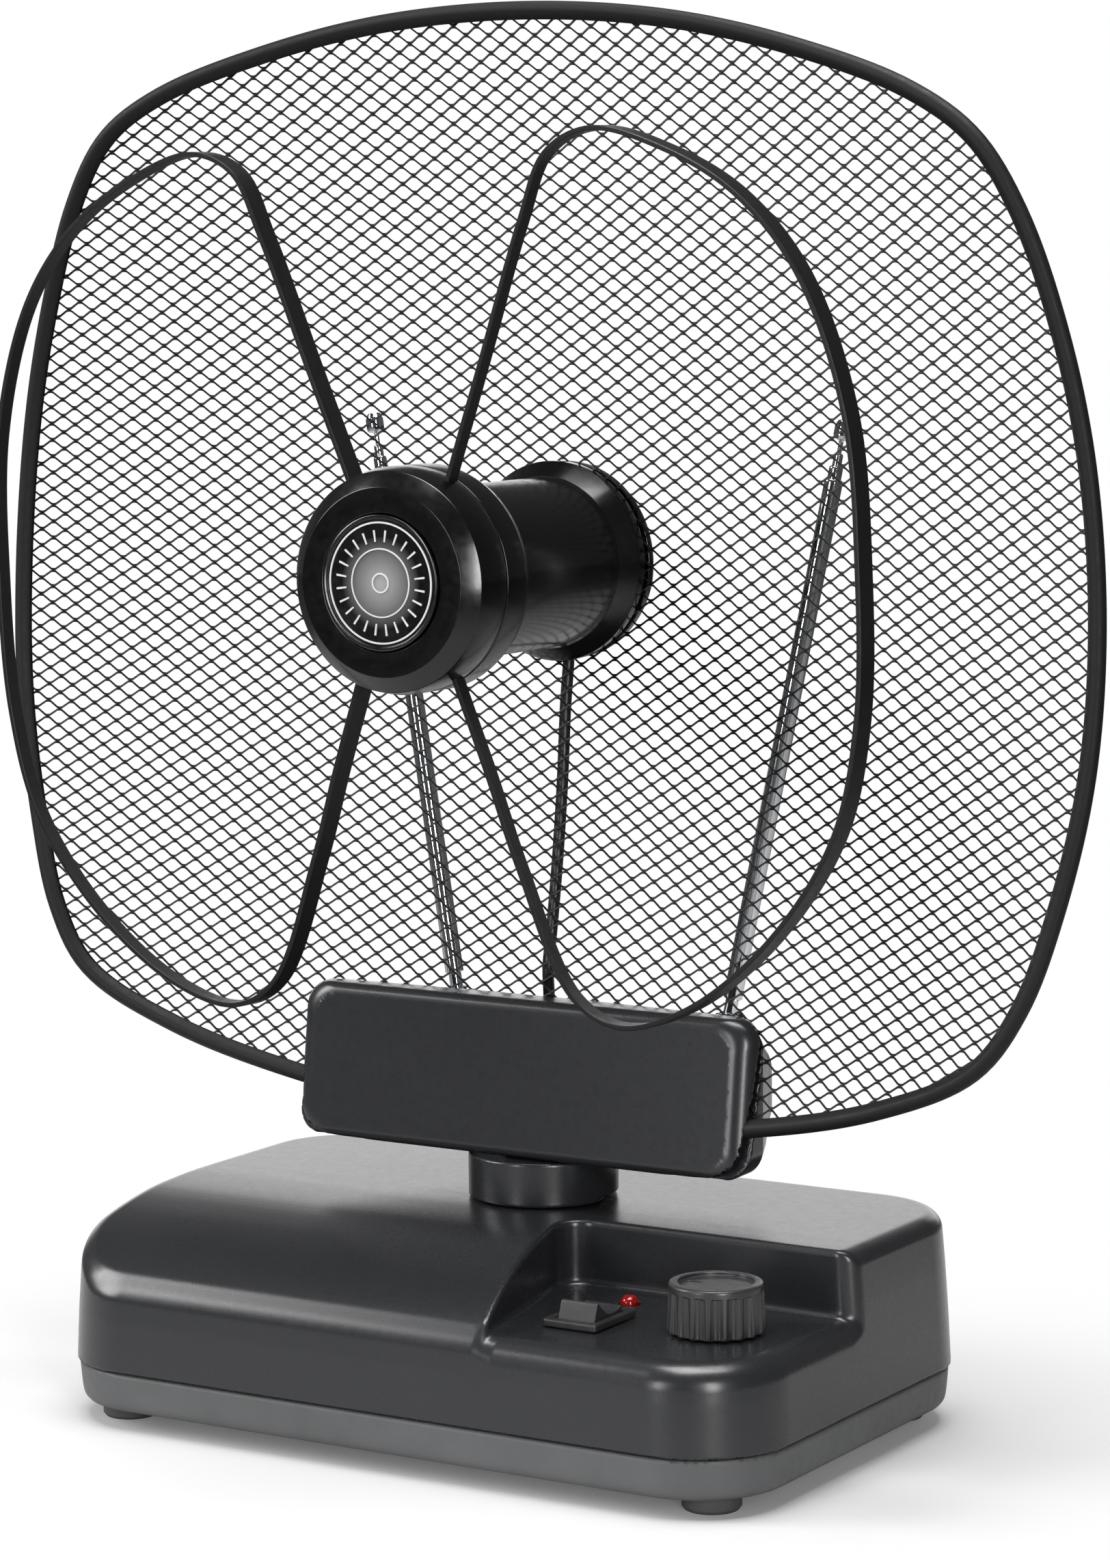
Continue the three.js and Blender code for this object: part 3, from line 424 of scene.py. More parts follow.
def solid(f, low, high, step, relax=2):
    """Verts, faces and normals of the surface where f is zero, as an even net of quads."""
    low = np.array(low, float) - 1.5 * step
    n = np.ceil((np.array(high, float) + 1.5 * step - low) / step).astype(int) + 1
    x, y, z = (low[k] + step * np.arange(n[k]) for k in range(3))
    v = np.broadcast_to(f(x[:, None, None], y[None, :, None], z[None, None, :]), n)
    inside = v < 0
    cells = n - 1
    part = [v[a:a + cells[0], b:b + cells[1], c:c + cells[2]] for a, b, c in CORNERS]
    filled = sum((q < 0).astype(np.int8) for q in part)
    active = (filled > 0) & (filled < 8)
    ids = np.full(active.shape, -1)
    ids[active] = np.arange(active.sum())
    at = np.argwhere(active)
    values = np.stack([q[active] for q in part])
    total, count = np.zeros((len(at), 3)), np.zeros(len(at))
    for a, b in EDGES:
        va, vb = values[a], values[b]
        cross = (va < 0) != (vb < 0)
        t = np.where(cross, va / np.where(cross, va - vb, 1), 0)
        total += cross[:, None] * (CORNERS[a] + t[:, None] * (CORNERS[b] - CORNERS[a]))
        count += cross
    p = low + step * (at + total / count[:, None])
    quads = []
    for axis in range(3):
        u, w = (axis + 1) % 3, (axis + 2) % 3
        a = np.take(inside, range(n[axis] - 1), axis)
        b = np.take(inside, range(1, n[axis]), axis)
        for here, flip in ((a & ~b, False), (b & ~a, True)):
            q = np.argwhere(here)
            q = q[(q[:, u] > 0) & (q[:, w] > 0) & (q[:, u] < n[u] - 1) & (q[:, w] < n[w] - 1)]
            ring = []
            for du, dw in ((-1, -1), (0, -1), (0, 0), (-1, 0)):
                c = q.copy()
                c[:, u] += du
                c[:, w] += dw
                ring.append(ids[c[:, 0], c[:, 1], c[:, 2]])
            quads.append(np.stack(ring[::-1] if flip else ring, axis=1))
    quads = np.vstack(quads)
    p = settle(f, p, step, 4)
    pairs = np.vstack([quads[:, [k, (k + 1) % 4]] for k in range(4)])
    pairs = np.vstack([pairs, pairs[:, ::-1]])
    share = np.bincount(pairs[:, 0], minlength=len(p))[:, None]
    for _ in range(relax):
        mean = np.stack([np.bincount(pairs[:, 0], p[pairs[:, 1], k], len(p)) for k in range(3)],
                        axis=1) / share
        p = settle(f, p + 0.5 * (mean - p), step, 2)
    g = gradient(f, p)
    return p, quads.tolist(), g / np.maximum(np.linalg.norm(g, axis=1), 1e-9)[:, None]


def moulded(name, f, low, high, step, finish_key, body, replaces=(), matrix=None, relax=2):
    verts, faces, normals = solid(f, low, high, step, relax)
    return piece(name, verts, faces, finish_key, body, replaces, normals, matrix)


# ------------------------------------------------------------------ base
plan_rows, ramp_rows = np.array(PLAN, float), table(RAMP)


def recess(x, y):
    slope = (WALL_X_FRONT - WALL_X) / (BASE_FRONT - WALL_Y)
    left = WALL_X + slope * (y - WALL_Y)
    return corner_max(left - x, y - WALL_Y, RECESS_R)


def top_shell(x, y, z):
    half, front, back, r = read(plan_rows, z)
    plan = rect2(x, y, -half, half, front, back, r)
    ramp, = read(ramp_rows, y)
    pocket = recess(x, y)
    upper = smin(smax(z - ramp, -pocket, 1.4), z - FLOOR_Z, 2.4)
    body = corner_max(plan, upper, 4.5 + 2 * np.clip(0.5 - pocket / 6, 0, 1))
    body = smax(body, SEAM_Z + 0.2 - z, 0.5)
    well = smax(round2(x, y, NECK_AT, 16.4), 30 - z, 0.3)
    around = np.maximum(round2(x, y, NECK_AT, 26), slab(z, 10, 55.4))
    sx, sy = SWITCH_AT
    switch = np.maximum(rect2(x, y, sx - 6.6, sx + 6.6, sy - 9, sy + 9, 0.5), 26 - z)
    shaft = np.maximum(round2(x, y, KNOB_AT, 3.6), 20 - z)
    lamp = np.maximum(round2(x, y, LED_AT, LAMP_R + 0.4), 26 - z)
    output = np.maximum(round2(x, z, OUTPUT_AT, 5.5), 50 - y)
    inlet = np.maximum(round2(x, z, INLET_AT, 4.7), 50 - y)
    for hole in (well, around, switch, shaft, lamp, output, inlet):
        body = smax(body, -hole, 0.6)
    return body


moulded("base_shell_skin", top_shell, (-110, -69, 16), (110, 69, 58.5), 1.0, "shell", "base",
        ["base_top_shell"])

tray_rows = table(TRAY)


def tray(x, y, z):
    inset, r = read(tray_rows, z)
    half = BASE_W / 2 - inset
    f = rect2(x, y, -half, half, BASE_FRONT + inset, BASE_BACK - inset, r)
    f = smax(smax(f, z - TRAY_TOP, 0.8), TRAY_Z - z, 1.0)
    for at in FEET_AT:
        f = smax(f, -np.maximum(round2(x, y, at, 8), z - 7.2), 0.3)
    for at in SCREWS_AT:
        f = smax(f, -np.maximum(round2(x, y, at, 3.4), z - 9), 0.4)
    return f


moulded("base_tray_skin", tray, (-109, -68.5, 4.6), (109, 68.5, 16), 1.1, "tray", "base",
        ["base_bottom_tray"])
for i in (1, 2, 3, 4):
    low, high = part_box(f"foot_{i}")
    centre = ((low.x + high.x) / 2 / MM, (low.y + high.y) / 2 / MM)
    pad = [(0, 0.5), (4.4, 0.5), (4.8, 0), (7, 0), (7.7, 0.9), (7.7, 6.8), (0, 6.8)]
    verts, faces = turned(pad, "Z", centre, 64, 0.3)
    piece(f"foot_pad_{i}", verts, faces, "rubber", "base", [f"foot_{i}"])

# lamp: a straight body under a round lens
LENS_Z, LENS_H = FLOOR_Z + 0.1, 2.2
lens_line = [(0, 27), (LAMP_R, 27), (LAMP_R, LENS_Z)]
lens_line += [(LAMP_R * math.cos(t), LENS_Z + LENS_H * math.sin(t))
              for t in np.linspace(0.1, math.pi / 2, 10)]
verts, faces = turned(lens_line, "Z", LED_AT, 48, 0)
piece("lamp_lens", verts, faces, "lens", "base", ["led_lamp"])

SX, SY = SWITCH_AT
ROCK_AXIS = (SY, FLOOR_Z - 0.2)  # y and z of the pin that the paddle rocks on


def switch_rect(x, y, half_x, half_y, r):
    return rect2(x, y, SX - half_x, SX + half_x, SY - half_y, SY + half_y, r)


def switch_frame(x, y, z):
    plate = smax(switch_rect(x, y, 8.2, 10.6, 1.2), slab(z, FLOOR_Z + 0.3, FLOOR_Z + 2.3), 0.5)
    box = np.maximum(switch_rect(x, y, 6.2, 8.6, 0.5), slab(z, 27, FLOOR_Z + 1))
    hole = np.maximum(switch_rect(x, y, 5.9, 7.9, 0.5), 29 - z)
    f = smax(smin(plate, box, 0.3), -hole, 0.4)
    return smin(f, np.maximum(round2(y, z, ROCK_AXIS, 0.9), slab(x, SX - 6, SX + 6)), 0.2)


moulded("switch_bezel", switch_frame, (SX - 8.5, SY - 11, 26.8), (SX + 8.5, SY + 11, FLOOR_Z + 2.5), 0.45,
        "bezel", "base", ["switch_housing"])

ROCK_TIP = math.radians(14)


def paddle(x, y, z):
    c, s = math.cos(-ROCK_TIP), math.sin(-ROCK_TIP)
    dy, dz = y - ROCK_AXIS[0], z - ROCK_AXIS[1]
    v, w = dy * c + dz * s, -dy * s + dz * c
    ends = np.maximum(np.abs(v) - 7.1 + 0.12 * np.maximum(w, 0), np.abs(v) * 0.75 - w - 6.6)
    top = w - (3.2 + 2.3 * np.minimum(1, np.abs(v) / 5.8) ** 1.6)
    f = smax(smax(ends, top, 0.9), np.abs(x - SX) - 5.55, 0.5)
    f = np.maximum(f, -4.3 - w)
    return smax(f, -round2(y, z, ROCK_AXIS, 1.2), 0.2)


moulded("rocker_paddle", paddle, (SX - 6, SY - 8.5, 34), (SX + 6, SY + 8.5, 47), 0.35, "rocker",
        "rocker", ["power_rocker"])

KNOB_TOP = FLOOR_Z + 13.6


def knob(x, y, z):
    dx, dy = x - KNOB_AT[0], y - KNOB_AT[1]
    r, t = np.hypot(dx, dy), np.arctan2(dy, dx)
    f = smax(r - (KNOB_R - 0.04 * (z - FLOOR_Z)), slab(z, FLOOR_Z + 0.6, KNOB_TOP), 0.9)
    wave = (t * KNOB_FLUTES / (2 * math.pi) + 0.5) % 1 - 0.5
    along = wave * 2 * math.pi * (KNOB_R + 0.2) / KNOB_FLUTES
    flute = round2(r, along, (KNOB_R + 0.7, 0), 2.0)
    f = smax(f, -np.maximum(flute, z - (KNOB_TOP - 2.2)), 0.25)
    dish = np.maximum(r - 9.9, KNOB_TOP - 0.9 - z)
    f = smax(f, -dish, 0.3)
    mark = np.maximum(rect2(dx, dy, -8.3, -4.2, -0.5, 0.5, 0.4), KNOB_TOP - 1.5 - z)
    f = smax(f, -mark, 0.2)
    under = np.maximum(r - 4, z - (FLOOR_Z + 1.6))
    f = smax(f, -under, 0.2)
    return np.minimum(f, np.maximum(r - 1.75, slab(z, 30, FLOOR_Z + 3)))


moulded("knob_cap", knob, (69, -45.5, 29.5), (96, -18.5, 54), 0.34, "knob", "knob", ["gain_knob"])


# ------------------------------------------------------------------ neck and head
FLAT_TURN = 0.24  # direction of the two flats on the collar, in radians


def neck(x, y, z):
    f = smax(round2(x, y, NECK_AT, NECK_R), slab(z, TOP_Z + 0.4, NECK_TOP), 0.8)
    for side in (-1, 1):
        across = (x - NECK_AT[0]) * side * math.cos(FLAT_TURN)
        away = across + (y - NECK_AT[1]) * math.sin(FLAT_TURN) - (NECK_R - 2.2)
        f = smax(f, np.minimum(away, TOP_Z + 1.6 - z), 0.5)
    f = np.minimum(f, np.maximum(round2(x, y, NECK_AT, 16), slab(z, 48, TOP_Z + 2)))
    return np.minimum(f, np.maximum(round2(x, y, NECK_AT, STUD_R), slab(z, NECK_TOP - 2, 75)))


moulded("neck_collar", neck, (-21, -4, 47.5), (21, 39, 75.5), 0.6, "shell", "head", ["swivel_neck"])


def dish(x, z):
    return DISH_Y - DISH_CX * x * x - DISH_CZ * (z - AXIS_Z) ** 2


tail_rows = np.array(HEAD_TAIL, float)
PARTING = SHEET_T / 2 + 0.65  # from the middle of the sheet to either shell


def head_outline(depth, x, z):
    side, drop, lift = read(tail_rows, depth)
    half = HEAD_W - side
    return rect2(x, z, -half, half, HEAD_Z0 + lift, HEAD_Z1 - drop, HEAD_CORNER_R)


def quarter(depth, r):
    """How far a quarter round of radius r stands in from the side at a depth from the face."""
    left = np.clip(r - depth, 0, r - 0.04)
    return r - np.sqrt(r * r - left * left)


def head_front(x, y, z):
    depth = y - HEAD_FRONT - HEAD_LEAN * (z - HEAD_Z0)
    half, edge = HEAD_W - quarter(depth, HEAD_SIDE_ROUND), quarter(depth, HEAD_EDGE_ROUND)
    f = rect2(x, z, -half, half, HEAD_Z0 + edge, HEAD_Z1 - edge, HEAD_CORNER_R)
    f = smax(f, -depth, 0.5)
    f = smax(f, y - dish(x, z) + PARTING, 0.7)
    return smax(f, -np.maximum(round2(x, y, NECK_AT, STUD_BORE_R), z - 80), 0.3)


moulded("head_front_skin", head_front, (-73, 0, 70.5), (73, 17.5, 114), 0.8, "shell", "head",
        ["head_front_shell"])


def head_rear(x, y, z):
    f = smax(head_outline(y - 6, x, z), y - 56, 2.4)
    f = smax(f, dish(x, z) + PARTING - y, 0.7)
    for side in (-1, 1):
        spot = (side * EAR_AT[0], EAR_AT[1])
        f = smin(f, smax(round2(x, y, spot, 8.6), slab(z, 94, 102.6), 0.8), 1.2)
        f = smax(f, -np.maximum(round2(x, y, spot, 6.9), 100.5 - z), 0.3)
        f = smax(f, -np.maximum(round2(x, y, spot, 4.6), 85 - z), 0.3)
        f = smax(f, -np.maximum(round2(x, z, (side * 52, 101), 3.6), 26 - y), 0.3)
    f = smax(f, -np.maximum(round2(x, y, NECK_AT, STUD_BORE_R), z - 80), 0.3)
    return smax(f, -np.maximum(round2(x, y, (-1, 23), 2.2), 92 - z), 0.3)


moulded("head_rear_skin", head_rear, (-73, 2, 70.5), (73, 56.5, 114), 0.9, "shell", "head",
        ["head_rear_shell"])

# ------------------------------------------------------------------ reflector
def rolled(u, v, angle):
    c, s = math.cos(angle), math.sin(angle)
    return u * c - v * s, u * s + v * c


rim_line = curve_points(list(HALF_RIM) + [(-x, z) for x, z in HALF_RIM[-2:0:-1]], 10, True)
rim_even = even_points(np.stack(rolled(*rim_line.T, REFLECTOR_ROLL), axis=1), 360, True)


def rim_frames(line):
    """Points of the rim, and there the directions into the sheet and square to it."""
    centre = np.stack([line[:, 0], dish(line[:, 0], line[:, 1] + AXIS_Z), line[:, 1] + AXIS_Z], axis=1)
    along = unit(np.roll(centre, -1, 0) - np.roll(centre, 1, 0))
    slopes = 2 * DISH_CX * centre[:, 0], 2 * DISH_CZ * (centre[:, 2] - AXIS_Z)
    normal = unit(np.stack([slopes[0], np.ones(len(line)), slopes[1]], axis=1))
    inward = np.cross(along, normal)
    middle = np.stack([-line[:, 0], np.zeros(len(line)), -line[:, 1]], axis=1)
    inward *= np.sign((inward * middle).sum(1))[:, None]
    return centre, unit(inward), normal


centre, inward, normal = rim_frames(rim_even)
# bead with two lips that close on the sheet
bead = [(RIM_R * math.cos(t), RIM_R * math.sin(t)) for t in np.linspace(0.75, 2 * math.pi - 0.75, 18)]
bead += [(2.5, -1.0), (2.7, -0.6), (0.6, -0.5), (0.6, 0.5), (2.7, 0.6), (2.5, 1.0)]
rows = np.stack([centre + u * inward + v * normal for u, v in bead], axis=1)
verts, faces = swept(rows, True)
piece("rim_trim", verts, faces, "rim", "head", ["reflector_rim"], sharp=50)

# expanded metal: one zigzag ribbon for each row of strands, rolled a little with the sheet's grain
CELL_W, CELL_H, STRAND_W, STRAND_T = 7.12, 4.68, 0.58, 0.4
GRAIN_ROLL, STRAND_TILT, MOST_ROWS = math.radians(-1.9), math.radians(24), 80
# One cell of a ribbon: how far along the cell, and how far up from one row to the next.
PHASES = [0.0, 0.10, 0.40, 0.5, 0.60, 0.90]
RISES = [0.0, 0.07, 0.93, 1.0, 0.93, 0.07]
inner = np.stack([(centre + 0.9 * inward)[:, 0], (centre + 0.9 * inward)[:, 2] - AXIS_Z], axis=1)
gc, gs = math.cos(GRAIN_ROLL), math.sin(GRAIN_ROLL)
outline = np.stack([inner[:, 0] * gc + inner[:, 1] * gs, -inner[:, 0] * gs + inner[:, 1] * gc], axis=1)
following = np.roll(outline, -1, 0)
strand_section = [rolled(a * STRAND_W / 2, b * STRAND_T / 2, STRAND_TILT)
                  for a, b in ((-1, -1), (1, -1), (1, 1), (-1, 1))]


def row_ends(level):
    """Where a row at this level meets the outline, or None where it does not."""
    crossed = (outline[:, 1] - level) * (following[:, 1] - level) < 0
    if crossed.sum() < 2:
        return None
    a, b = outline[crossed], following[crossed]
    hits = a[:, 0] + (level - a[:, 1]) / (b[:, 1] - a[:, 1]) * (b[:, 0] - a[:, 0])
    return (hits.min(), hits.max()) if hits.max() - hits.min() >= 4 else None


def ribbon(row):
    """Verts and faces of one zigzag strand, or None above and below the sheet."""
    low, high = row * CELL_H / 2 + 0.44 * STRAND_W, (row + 1) * CELL_H / 2 - 0.44 * STRAND_W
    span = row_ends((low + high) / 2)
    if span is None:
        return None
    left, right = span
    offset = CELL_W / 2 if row % 2 else 0
    first, last = math.floor((left - offset) / CELL_W) - 1, math.ceil((right - offset) / CELL_W) + 1
    u = np.concatenate([[offset + (i + p) * CELL_W for p in PHASES] for i in range(first, last)])
    rise = np.tile(RISES, last - first)
    keep = (u > left) & (u < right)
    ends = np.interp([left, right], u, rise)
    u = np.concatenate([[left], u[keep], [right]])
    v = low + (high - low) * np.concatenate([[ends[0]], rise[keep], [ends[1]]])
    ring = []
    for dv, dy in strand_section:
        x, z = rolled(u, v + dv, GRAIN_ROLL)
        ring.append(np.stack([x, dish(x, z + AXIS_Z) + dy, z + AXIS_Z], axis=1))
    return swept(np.stack(ring, axis=1), False)


mesh_verts, mesh_faces, count = [], [], 0
for made in filter(None, map(ribbon, range(-MOST_ROWS, MOST_ROWS))):
    verts, faces = made
    mesh_verts.append(verts)
    mesh_faces += [tuple(i + count for i in face) for face in faces]
    count += len(verts)
piece("expanded_mesh", np.vstack(mesh_verts), mesh_faces, "wire", "head", ["reflector_mesh"], sharp=30)

# ------------------------------------------------------------------ boom and hub
def spun(name, profile, radius, finish_key, node):
    """A profile turned about the boom axis, riding on the head."""
    verts, faces = turned(profile, "Y", (0, AXIS_Z), 128, radius)
    piece(name, verts, faces, finish_key, "head", [node])


boom = [(20.6, -34), (BOOM_R, -34), (BOOM_R, 20), (23.4, 21.2), (FLANGE_R, 25.8), (FLANGE_R, 28.8),
        (9, 28.8), (7, 29), (7, 32.8), (0, 32.8)]
spun("boom_sleeve", boom, 0.5, "gloss", "boom_tube")
cap = [(1.9, 33.3), (1.9, 36.6), (2.5, 37), (22, 37), (26, 35.6), (27, 33.4), (27, 31.3),
       (24.6, 31.3), (24.6, 33.6), (1.9, 33.8)]
spun("boom_cap", cap, 0.5, "gloss", "boom_rear_cap")


def cross_screw(x, y, z):
    r = round2(x, z, (0, AXIS_Z), 0)
    head = smax(r - 3.35, smax(slab(y, 37.35, 39.2), np.hypot(r, y - 34.6) - 4.6, 0.4), 0.3)
    u, v = np.abs(x), np.abs(z - AXIS_Z)
    cross = np.minimum(np.maximum(u - 0.35, v - 1.8), np.maximum(v - 0.35, u - 1.8))
    slot = np.maximum(cross, 38.2 - y)
    f = smax(head, -slot, 0.15)
    return np.minimum(f, np.maximum(r - 1.2, slab(y, 22, 38)))


moulded("boom_cap_screw", cross_screw, (-3.6, 21.8, AXIS_Z - 3.6), (3.6, 39.4, AXIS_Z + 3.6), 0.25,
        "steel", "head", ["boom_screw"])

hub_rear = [(BOOM_R + 0.3, -33.4), (BOOM_R + 0.3, -31.2), (26.2, -31.2), (28.6, -32.4), (29.5, -35),
            (29.5, -43.8), (27.2, -43.8), (27.2, -34), (BOOM_R + 0.3, -33.4)]
spun("hub_rear_skin", hub_rear, 0.6, "gloss", "hub_body")
hub_front = [(0, -57.2), (17.7, -57.2), (17.9, -58.1), (24.4, -58.1), (28.6, -54.9), (29.5, -50.2),
             (29.5, -44.25), (27.2, -44.25), (27.2, -50), (22, -54.8), (0, -54.8)]
spun("hub_front_skin", hub_front, 0.5, "gloss", "hub_bezel")
emblem = [(0, -57.3), (17.5, -57.3), (17.5, -58.7), (17.1, -58.8), (16.6, -58.7), (16.4, -58.3),
          (0, -58.3)]
spun("emblem_disc", emblem, 0.15, "face", "hub_emblem")


def flat_ring(r0, r1, y0, y1):
    return turned([(r0, y0), (r1, y0), (r1, y1), (r0, y1), (r0, y0)], "Y", (0, AXIS_Z), 128, 0.05)


def ticks(count, r0, r1, width, y0, y1):
    verts, faces = [], []
    for i in range(count):
        t = 2 * math.pi * (i + 0.5) / count
        for r, w in ((r0, width), (r1, width * 1.3)):
            for side in (-1, 1):
                for y in (y0, y1):
                    x = r * math.sin(t) + side * w / 2 * math.cos(t)
                    z = r * math.cos(t) - side * w / 2 * math.sin(t)
                    verts.append((x, y, AXIS_Z + z))
        b = 8 * i
        faces += [(b, b + 2, b + 6, b + 4), (b + 1, b + 5, b + 7, b + 3), (b, b + 1, b + 3, b + 2),
                  (b + 4, b + 6, b + 7, b + 5), (b, b + 4, b + 5, b + 1), (b + 2, b + 3, b + 7, b + 6)]
    return verts, faces


for i, (r0, r1) in enumerate([(15.3, 15.75), (8.6, 8.95), (2.2, 2.6)]):
    verts, faces = flat_ring(r0, r1, -58.55, -58.2)
    piece(f"emblem_ring_{i + 1}", verts, faces, "print", "head")
verts, faces = ticks(24, 10.6, 13.6, 0.4, -58.5, -58.2)
piece("emblem_ticks", verts, faces, "print", "head")

# ------------------------------------------------------------------ loops
loop_line = even_points(curve_points(LOOP, 16, False), 300, False)
tangent = unit(np.gradient(loop_line, axis=0))
outward = np.stack([-tangent[:, 1], tangent[:, 0]], axis=1)
flare = STRIP_FLARE * np.abs(outward[:, 0]) * STRIP_DEPTH
half, chamfer = STRIP_T / 2, 0.22
strip_section = [(-half, chamfer), (-half + chamfer, 0), (half - chamfer, 0), (half, chamfer)]
strip_section += [(-a, STRIP_DEPTH - b) for a, b in strip_section]
for side, tag in ((-1, "left"), (1, "right")):
    rows = []
    for a, b in strip_section:
        p = loop_line + outward * (a + flare * b / STRIP_DEPTH)[:, None]
        x, z = rolled(side * p[:, 0], p[:, 1], LOOP_ROLL)
        rows.append(np.stack([x, np.full(len(p), STRIP_Y0 + b), z + AXIS_Z], axis=1))
    verts, faces = swept(np.stack(rows, axis=1), False)
    piece(f"loop_strip_{tag}", verts, faces, "strip", "head", [f"loop_{tag}"], sharp=25)

# ------------------------------------------------------------------ coaxial lead
run = [(0, 33.2, -20), (0, 33.2, -27)]
run += [(-0.5, dish(0, AXIS_Z - d) + 3.2, -d) for d in (40, 60, 80, 100, 111)]
run += [(-1, 22.8, -118), (-1, 23.1, -124), (-1, 23.1, -134)]
lead = even_points(curve_points(run, 12, False), 90, False)
tangent = unit(np.gradient(lead, axis=0))
across = unit(np.cross(tangent, (1, 0, 0)))
other = np.cross(tangent, across)
rows = np.stack([lead + LEAD_R * (math.cos(t) * across + math.sin(t) * other)
                 for t in np.linspace(0, 2 * math.pi, 24, endpoint=False)], axis=1) + np.array([0, 0, AXIS_Z])
verts, faces = swept(rows, False)
piece("lead_jacket", verts, faces, "cable", "head", ["coax_lead"])

# ------------------------------------------------------------------ ears
SEAT_Z, PIN_BORE_R, EYE_R = -4.15, 1.55, 2.6


def fork(x, y, z):
    r = np.hypot(x, y)
    outer = np.interp(z, [SEAT_Z, -3.4, 0.6, 2.6, 3.4], [6.4, 6.4, 5.8, 4.6, 3.2])
    f = smax(r - outer, slab(z, SEAT_Z, 3.4), 0.8)
    f = smax(f, np.minimum(slab(y, -4.2, 4.2), -3.4 - z), 0.4)
    f = np.minimum(f, np.maximum(r - 4.2, slab(z, -12.5, SEAT_Z + 1)))
    f = np.minimum(f, np.maximum(r - 5.4, slab(z, -13.5, -12)))
    f = smax(f, -np.maximum(np.abs(y) - 2.25, -3 - z), 0.3)
    return smax(f, -round2(x, z, (0, 0), PIN_BORE_R), 0.2)


def knuckle(x, y, z):
    f = smax(round2(x, z, (0, 0), EYE_R), np.abs(y) - 1.9, 0.3)
    f = smin(f, smax(np.hypot(x, y) - 1.8, slab(z, 0, 8.2), 0.2), 0.6)
    return smax(f, -round2(x, z, (0, 0), PIN_BORE_R), 0.2)


TOP = EAR_TUBE_L
# Each section of the rods: its piece, its body, its node, the rounding of its corners, its profile.
SECTIONS = [
    ("section_a", "outer", "tube_outer", 0.15,
     [(0, 7.4), (2.4, 7.4), (2.6, 7.7), (2.6, TOP - 1.4), (2.6, TOP - 0.6), (2.35, TOP), (2.2, TOP),
      (2.2, TOP - 3), (2.3, TOP - 4), (2.3, 9.4), (0, 9.4)]),
    ("section_b", "middle", "tube_middle", 0.15,
     [(1.65, 10), (2.1, 10), (2.1, 13), (1.95, 13.4), (1.95, TOP + 3), (1.75, TOP + 3.5),
      (1.55, TOP + 3.5), (1.55, TOP), (1.65, TOP - 1), (1.65, 10)]),
    ("section_c", "inner", "tube_inner", 0.15,
     [(1, 11), (1.5, 11), (1.5, 14), (1.3, 14.3), (1.3, TOP + 6.5), (1.15, TOP + 7), (0.95, TOP + 7),
      (0.95, TOP + 5), (1, TOP + 4), (1, 11)]),
    ("tip", "tip", "tip_rod", 0.5,
     [(0, 12), (0.85, 12), (0.85, 15), (0.65, 15.3), (0.65, TOP + 10.5), (2.3, TOP + 10.9),
      (2.6, TOP + 12), (2.6, TOP + 14.4), (1.9, TOP + 15.9), (0, TOP + 16.4)]),
]
for side, tag in ((-1, "left"), (1, "right")):
    pivot = Vector((side * EAR_AT[0], EAR_AT[1], EAR_PIVOT_Z)) * MM
    seat = Matrix.Translation(pivot) @ Matrix.Rotation(side * EAR_TURN, 4, "Z")
    lean = seat @ Matrix.Rotation(side * EAR_LEAN, 4, "Y")
    moulded(f"ear_fork_{tag}", fork, (-6.6, -6.6, -13.7), (6.6, 6.6, 3.6), 0.35, "chrome",
            f"ear_turret_body_{tag}", [f"ear_turret_{tag}"], seat)
    moulded(f"ear_eye_{tag}", knuckle, (-2.9, -2.2, -2.9), (2.9, 2.2, 8.6), 0.25, "chrome",
            f"ear_outer_{tag}", (), lean)
    for name, body, node, radius, profile in SECTIONS:
        verts, faces = turned(profile, "Z", (0, 0), 48, radius)
        piece(f"ear_{name}_{tag}", verts, faces, "chrome", f"ear_{body}_{tag}", [f"ear_{node}_{tag}"],
              matrix=lean)

# ------------------------------------------------------------------ carried-over nodes
CARRIED = {
    "steel": ["ballast_plate", "swivel_retainer", "gain_control_body", "head_screw_1", "head_screw_2",
              "ear_pin_left", "ear_pin_right"] + [f"tray_screw_{i}" for i in (1, 2, 3, 4)],
    "board": ["amplifier_board", "combiner_board", "balun_board"],
    "brass": ["coax_output_jack"],
    "gloss": ["power_inlet_jack"],
}
for key, names in CARRIED.items():
    for name in names:
        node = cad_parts[name]
        node.data.materials.clear()
        node.data.materials.append(MAT[key])
        edge = node.modifiers.new("edges", "BEVEL")
        edge.width = 0.12 * MM
        edge.segments = 2
        edge.limit_method = "ANGLE"
        edge.angle_limit = math.radians(40)

# ------------------------------------------------------------------ stage, light and camera
made, tree, shader = node_tree("pale_floor")
shader.inputs["Roughness"].default_value = 0.8
shader.inputs["Specular IOR Level"].default_value = 0.1
# to the eye the pale floor runs out into an evenly lit white sweep; the object's own
# reflections see it fall off into a dark studio
away = distance_from(tree, (0, 0, 0))
far = ranged(tree, away, 0.3, 0.75, 0, 1)
tree.links.new(blended(tree, far, (0.48, 0.48, 0.48), (0.06, 0.06, 0.06)), shader.inputs["Base Color"])
sweep = tree.nodes.new("ShaderNodeEmission")
sweep.inputs["Strength"].default_value = 1.0
path = tree.nodes.new("ShaderNodeLightPath")
seen = tree.nodes.new("ShaderNodeMath")
seen.operation = "MULTIPLY"
tree.links.new(ranged(tree, away, 0.12, 0.27, 0.1, 1), seen.inputs[0])
tree.links.new(path.outputs["Is Camera Ray"], seen.inputs[1])
spread = tree.nodes.new("ShaderNodeMixShader")
tree.links.new(seen.outputs["Value"], spread.inputs["Fac"])
tree.links.new(shader.outputs["BSDF"], spread.inputs[1])
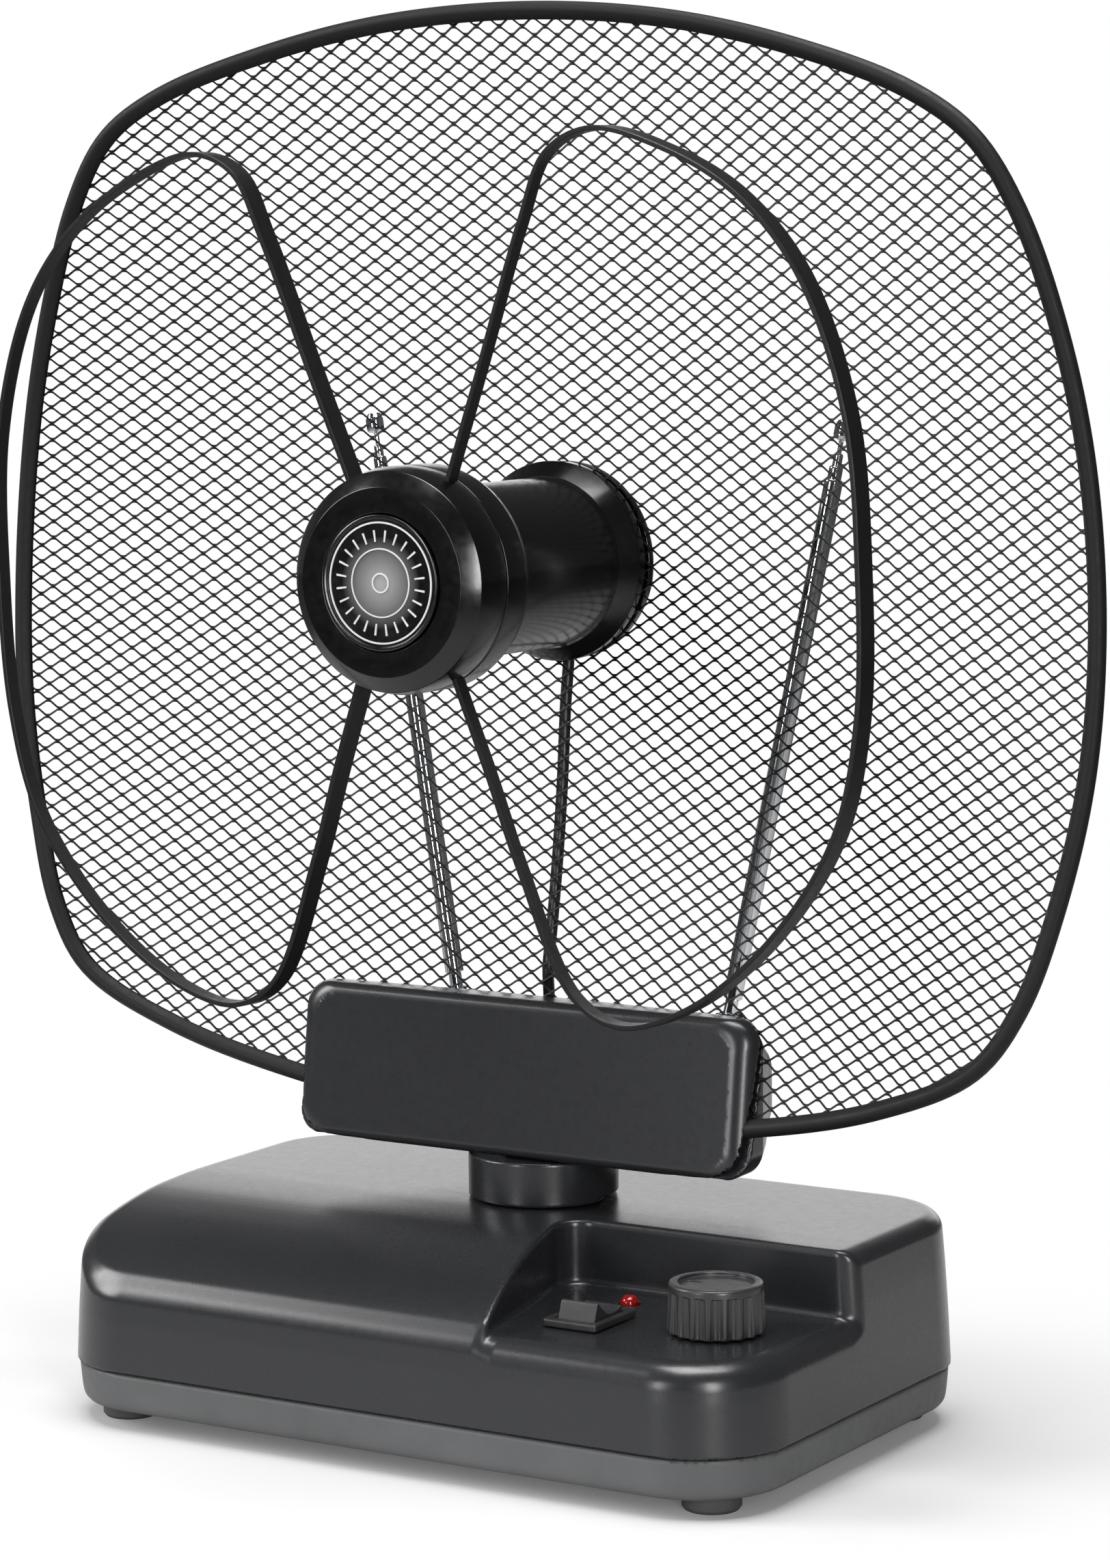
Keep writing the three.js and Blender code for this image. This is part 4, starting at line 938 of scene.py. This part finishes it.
tree.links.new(sweep.outputs["Emission"], spread.inputs[2])
tree.links.new(spread.outputs["Shader"], tree.nodes["Material Output"].inputs["Surface"])
floor_mesh = bpy.data.meshes.new("floor")
floor_mesh.from_pydata([(-4, -4, 0), (4, -4, 0), (4, 5, 0), (-4, 5, 0)], [], [(0, 1, 2, 3)])
floor_mesh.materials.append(made)
floor = bpy.data.objects.new("floor", floor_mesh)
bpy.context.scene.collection.objects.link(floor)

# a white backdrop to look at, and a dimmer room to light and reflect
world = bpy.data.worlds.new("studio")
bpy.context.scene.world = world
world.use_nodes = True
tree = world.node_tree
sky = tree.nodes["Background"]
sky.inputs["Color"].default_value = (1, 1, 1, 1)
path = tree.nodes.new("ShaderNodeLightPath")
tree.links.new(ranged(tree, path.outputs["Is Camera Ray"], 0, 1, 0.14, 1), sky.inputs["Strength"])


def softbox(name, at, target, size, power):
    light = bpy.data.lights.new(name, "AREA")
    light.shape = "RECTANGLE"
    light.size, light.size_y = size
    light.energy = power
    lamp = bpy.data.objects.new(name, light)
    bpy.context.scene.collection.objects.link(lamp)
    lamp.location = at
    lamp.rotation_euler = (Vector(target) - Vector(at)).to_track_quat("-Z", "Y").to_euler()


# place and target, size, then power in watts; all in metres
softbox("box_front", (-0.4, -2.1, 0.35), (0, 0, 0.15), (0.28, 1.3), 20)
softbox("box_right", (1.45, -1.35, 0.4), (0, 0, 0.15), (0.26, 1.3), 30)
softbox("box_left", (-1.7, -1.0, 1.2), (0, 0, 0.2), (0.7, 1.2), 40)
softbox("box_top", (0.1, -0.1, 1.9), (0, 0, 0.2), (1.2, 1.0), 60)
softbox("box_back", (-1.1, 1.8, 0.5), (0, 0, 0.15), (2.6, 1.0), 14)

CAMERA = {"azimuth": 31.763, "elevation": 7.044, "roll": -0.565, "distance_m": 1.1778, "lens": 101.5,
          "target_m": (0.01574, 0, 0.17433)}
az, el, roll = (math.radians(CAMERA[key]) for key in ("azimuth", "elevation", "roll"))
back = Vector((math.sin(az) * math.cos(el), -math.cos(az) * math.cos(el), math.sin(el)))
right = Vector((math.cos(az), math.sin(az), 0))
up = back.cross(right)
right = right * math.cos(roll) + up * math.sin(roll)
up = back.cross(right)
lens = bpy.data.cameras.new("camera")
lens.sensor_width = 36
lens.lens = CAMERA["lens"]
camera = bpy.data.objects.new("camera", lens)
bpy.context.scene.collection.objects.link(camera)
axes = Matrix((right, up, back)).transposed().to_4x4()
place = Vector(CAMERA["target_m"]) + back * CAMERA["distance_m"]
camera.matrix_world = Matrix.Translation(place) @ axes
bpy.context.scene.camera = camera
bpy.context.scene.view_settings.view_transform = "Standard"
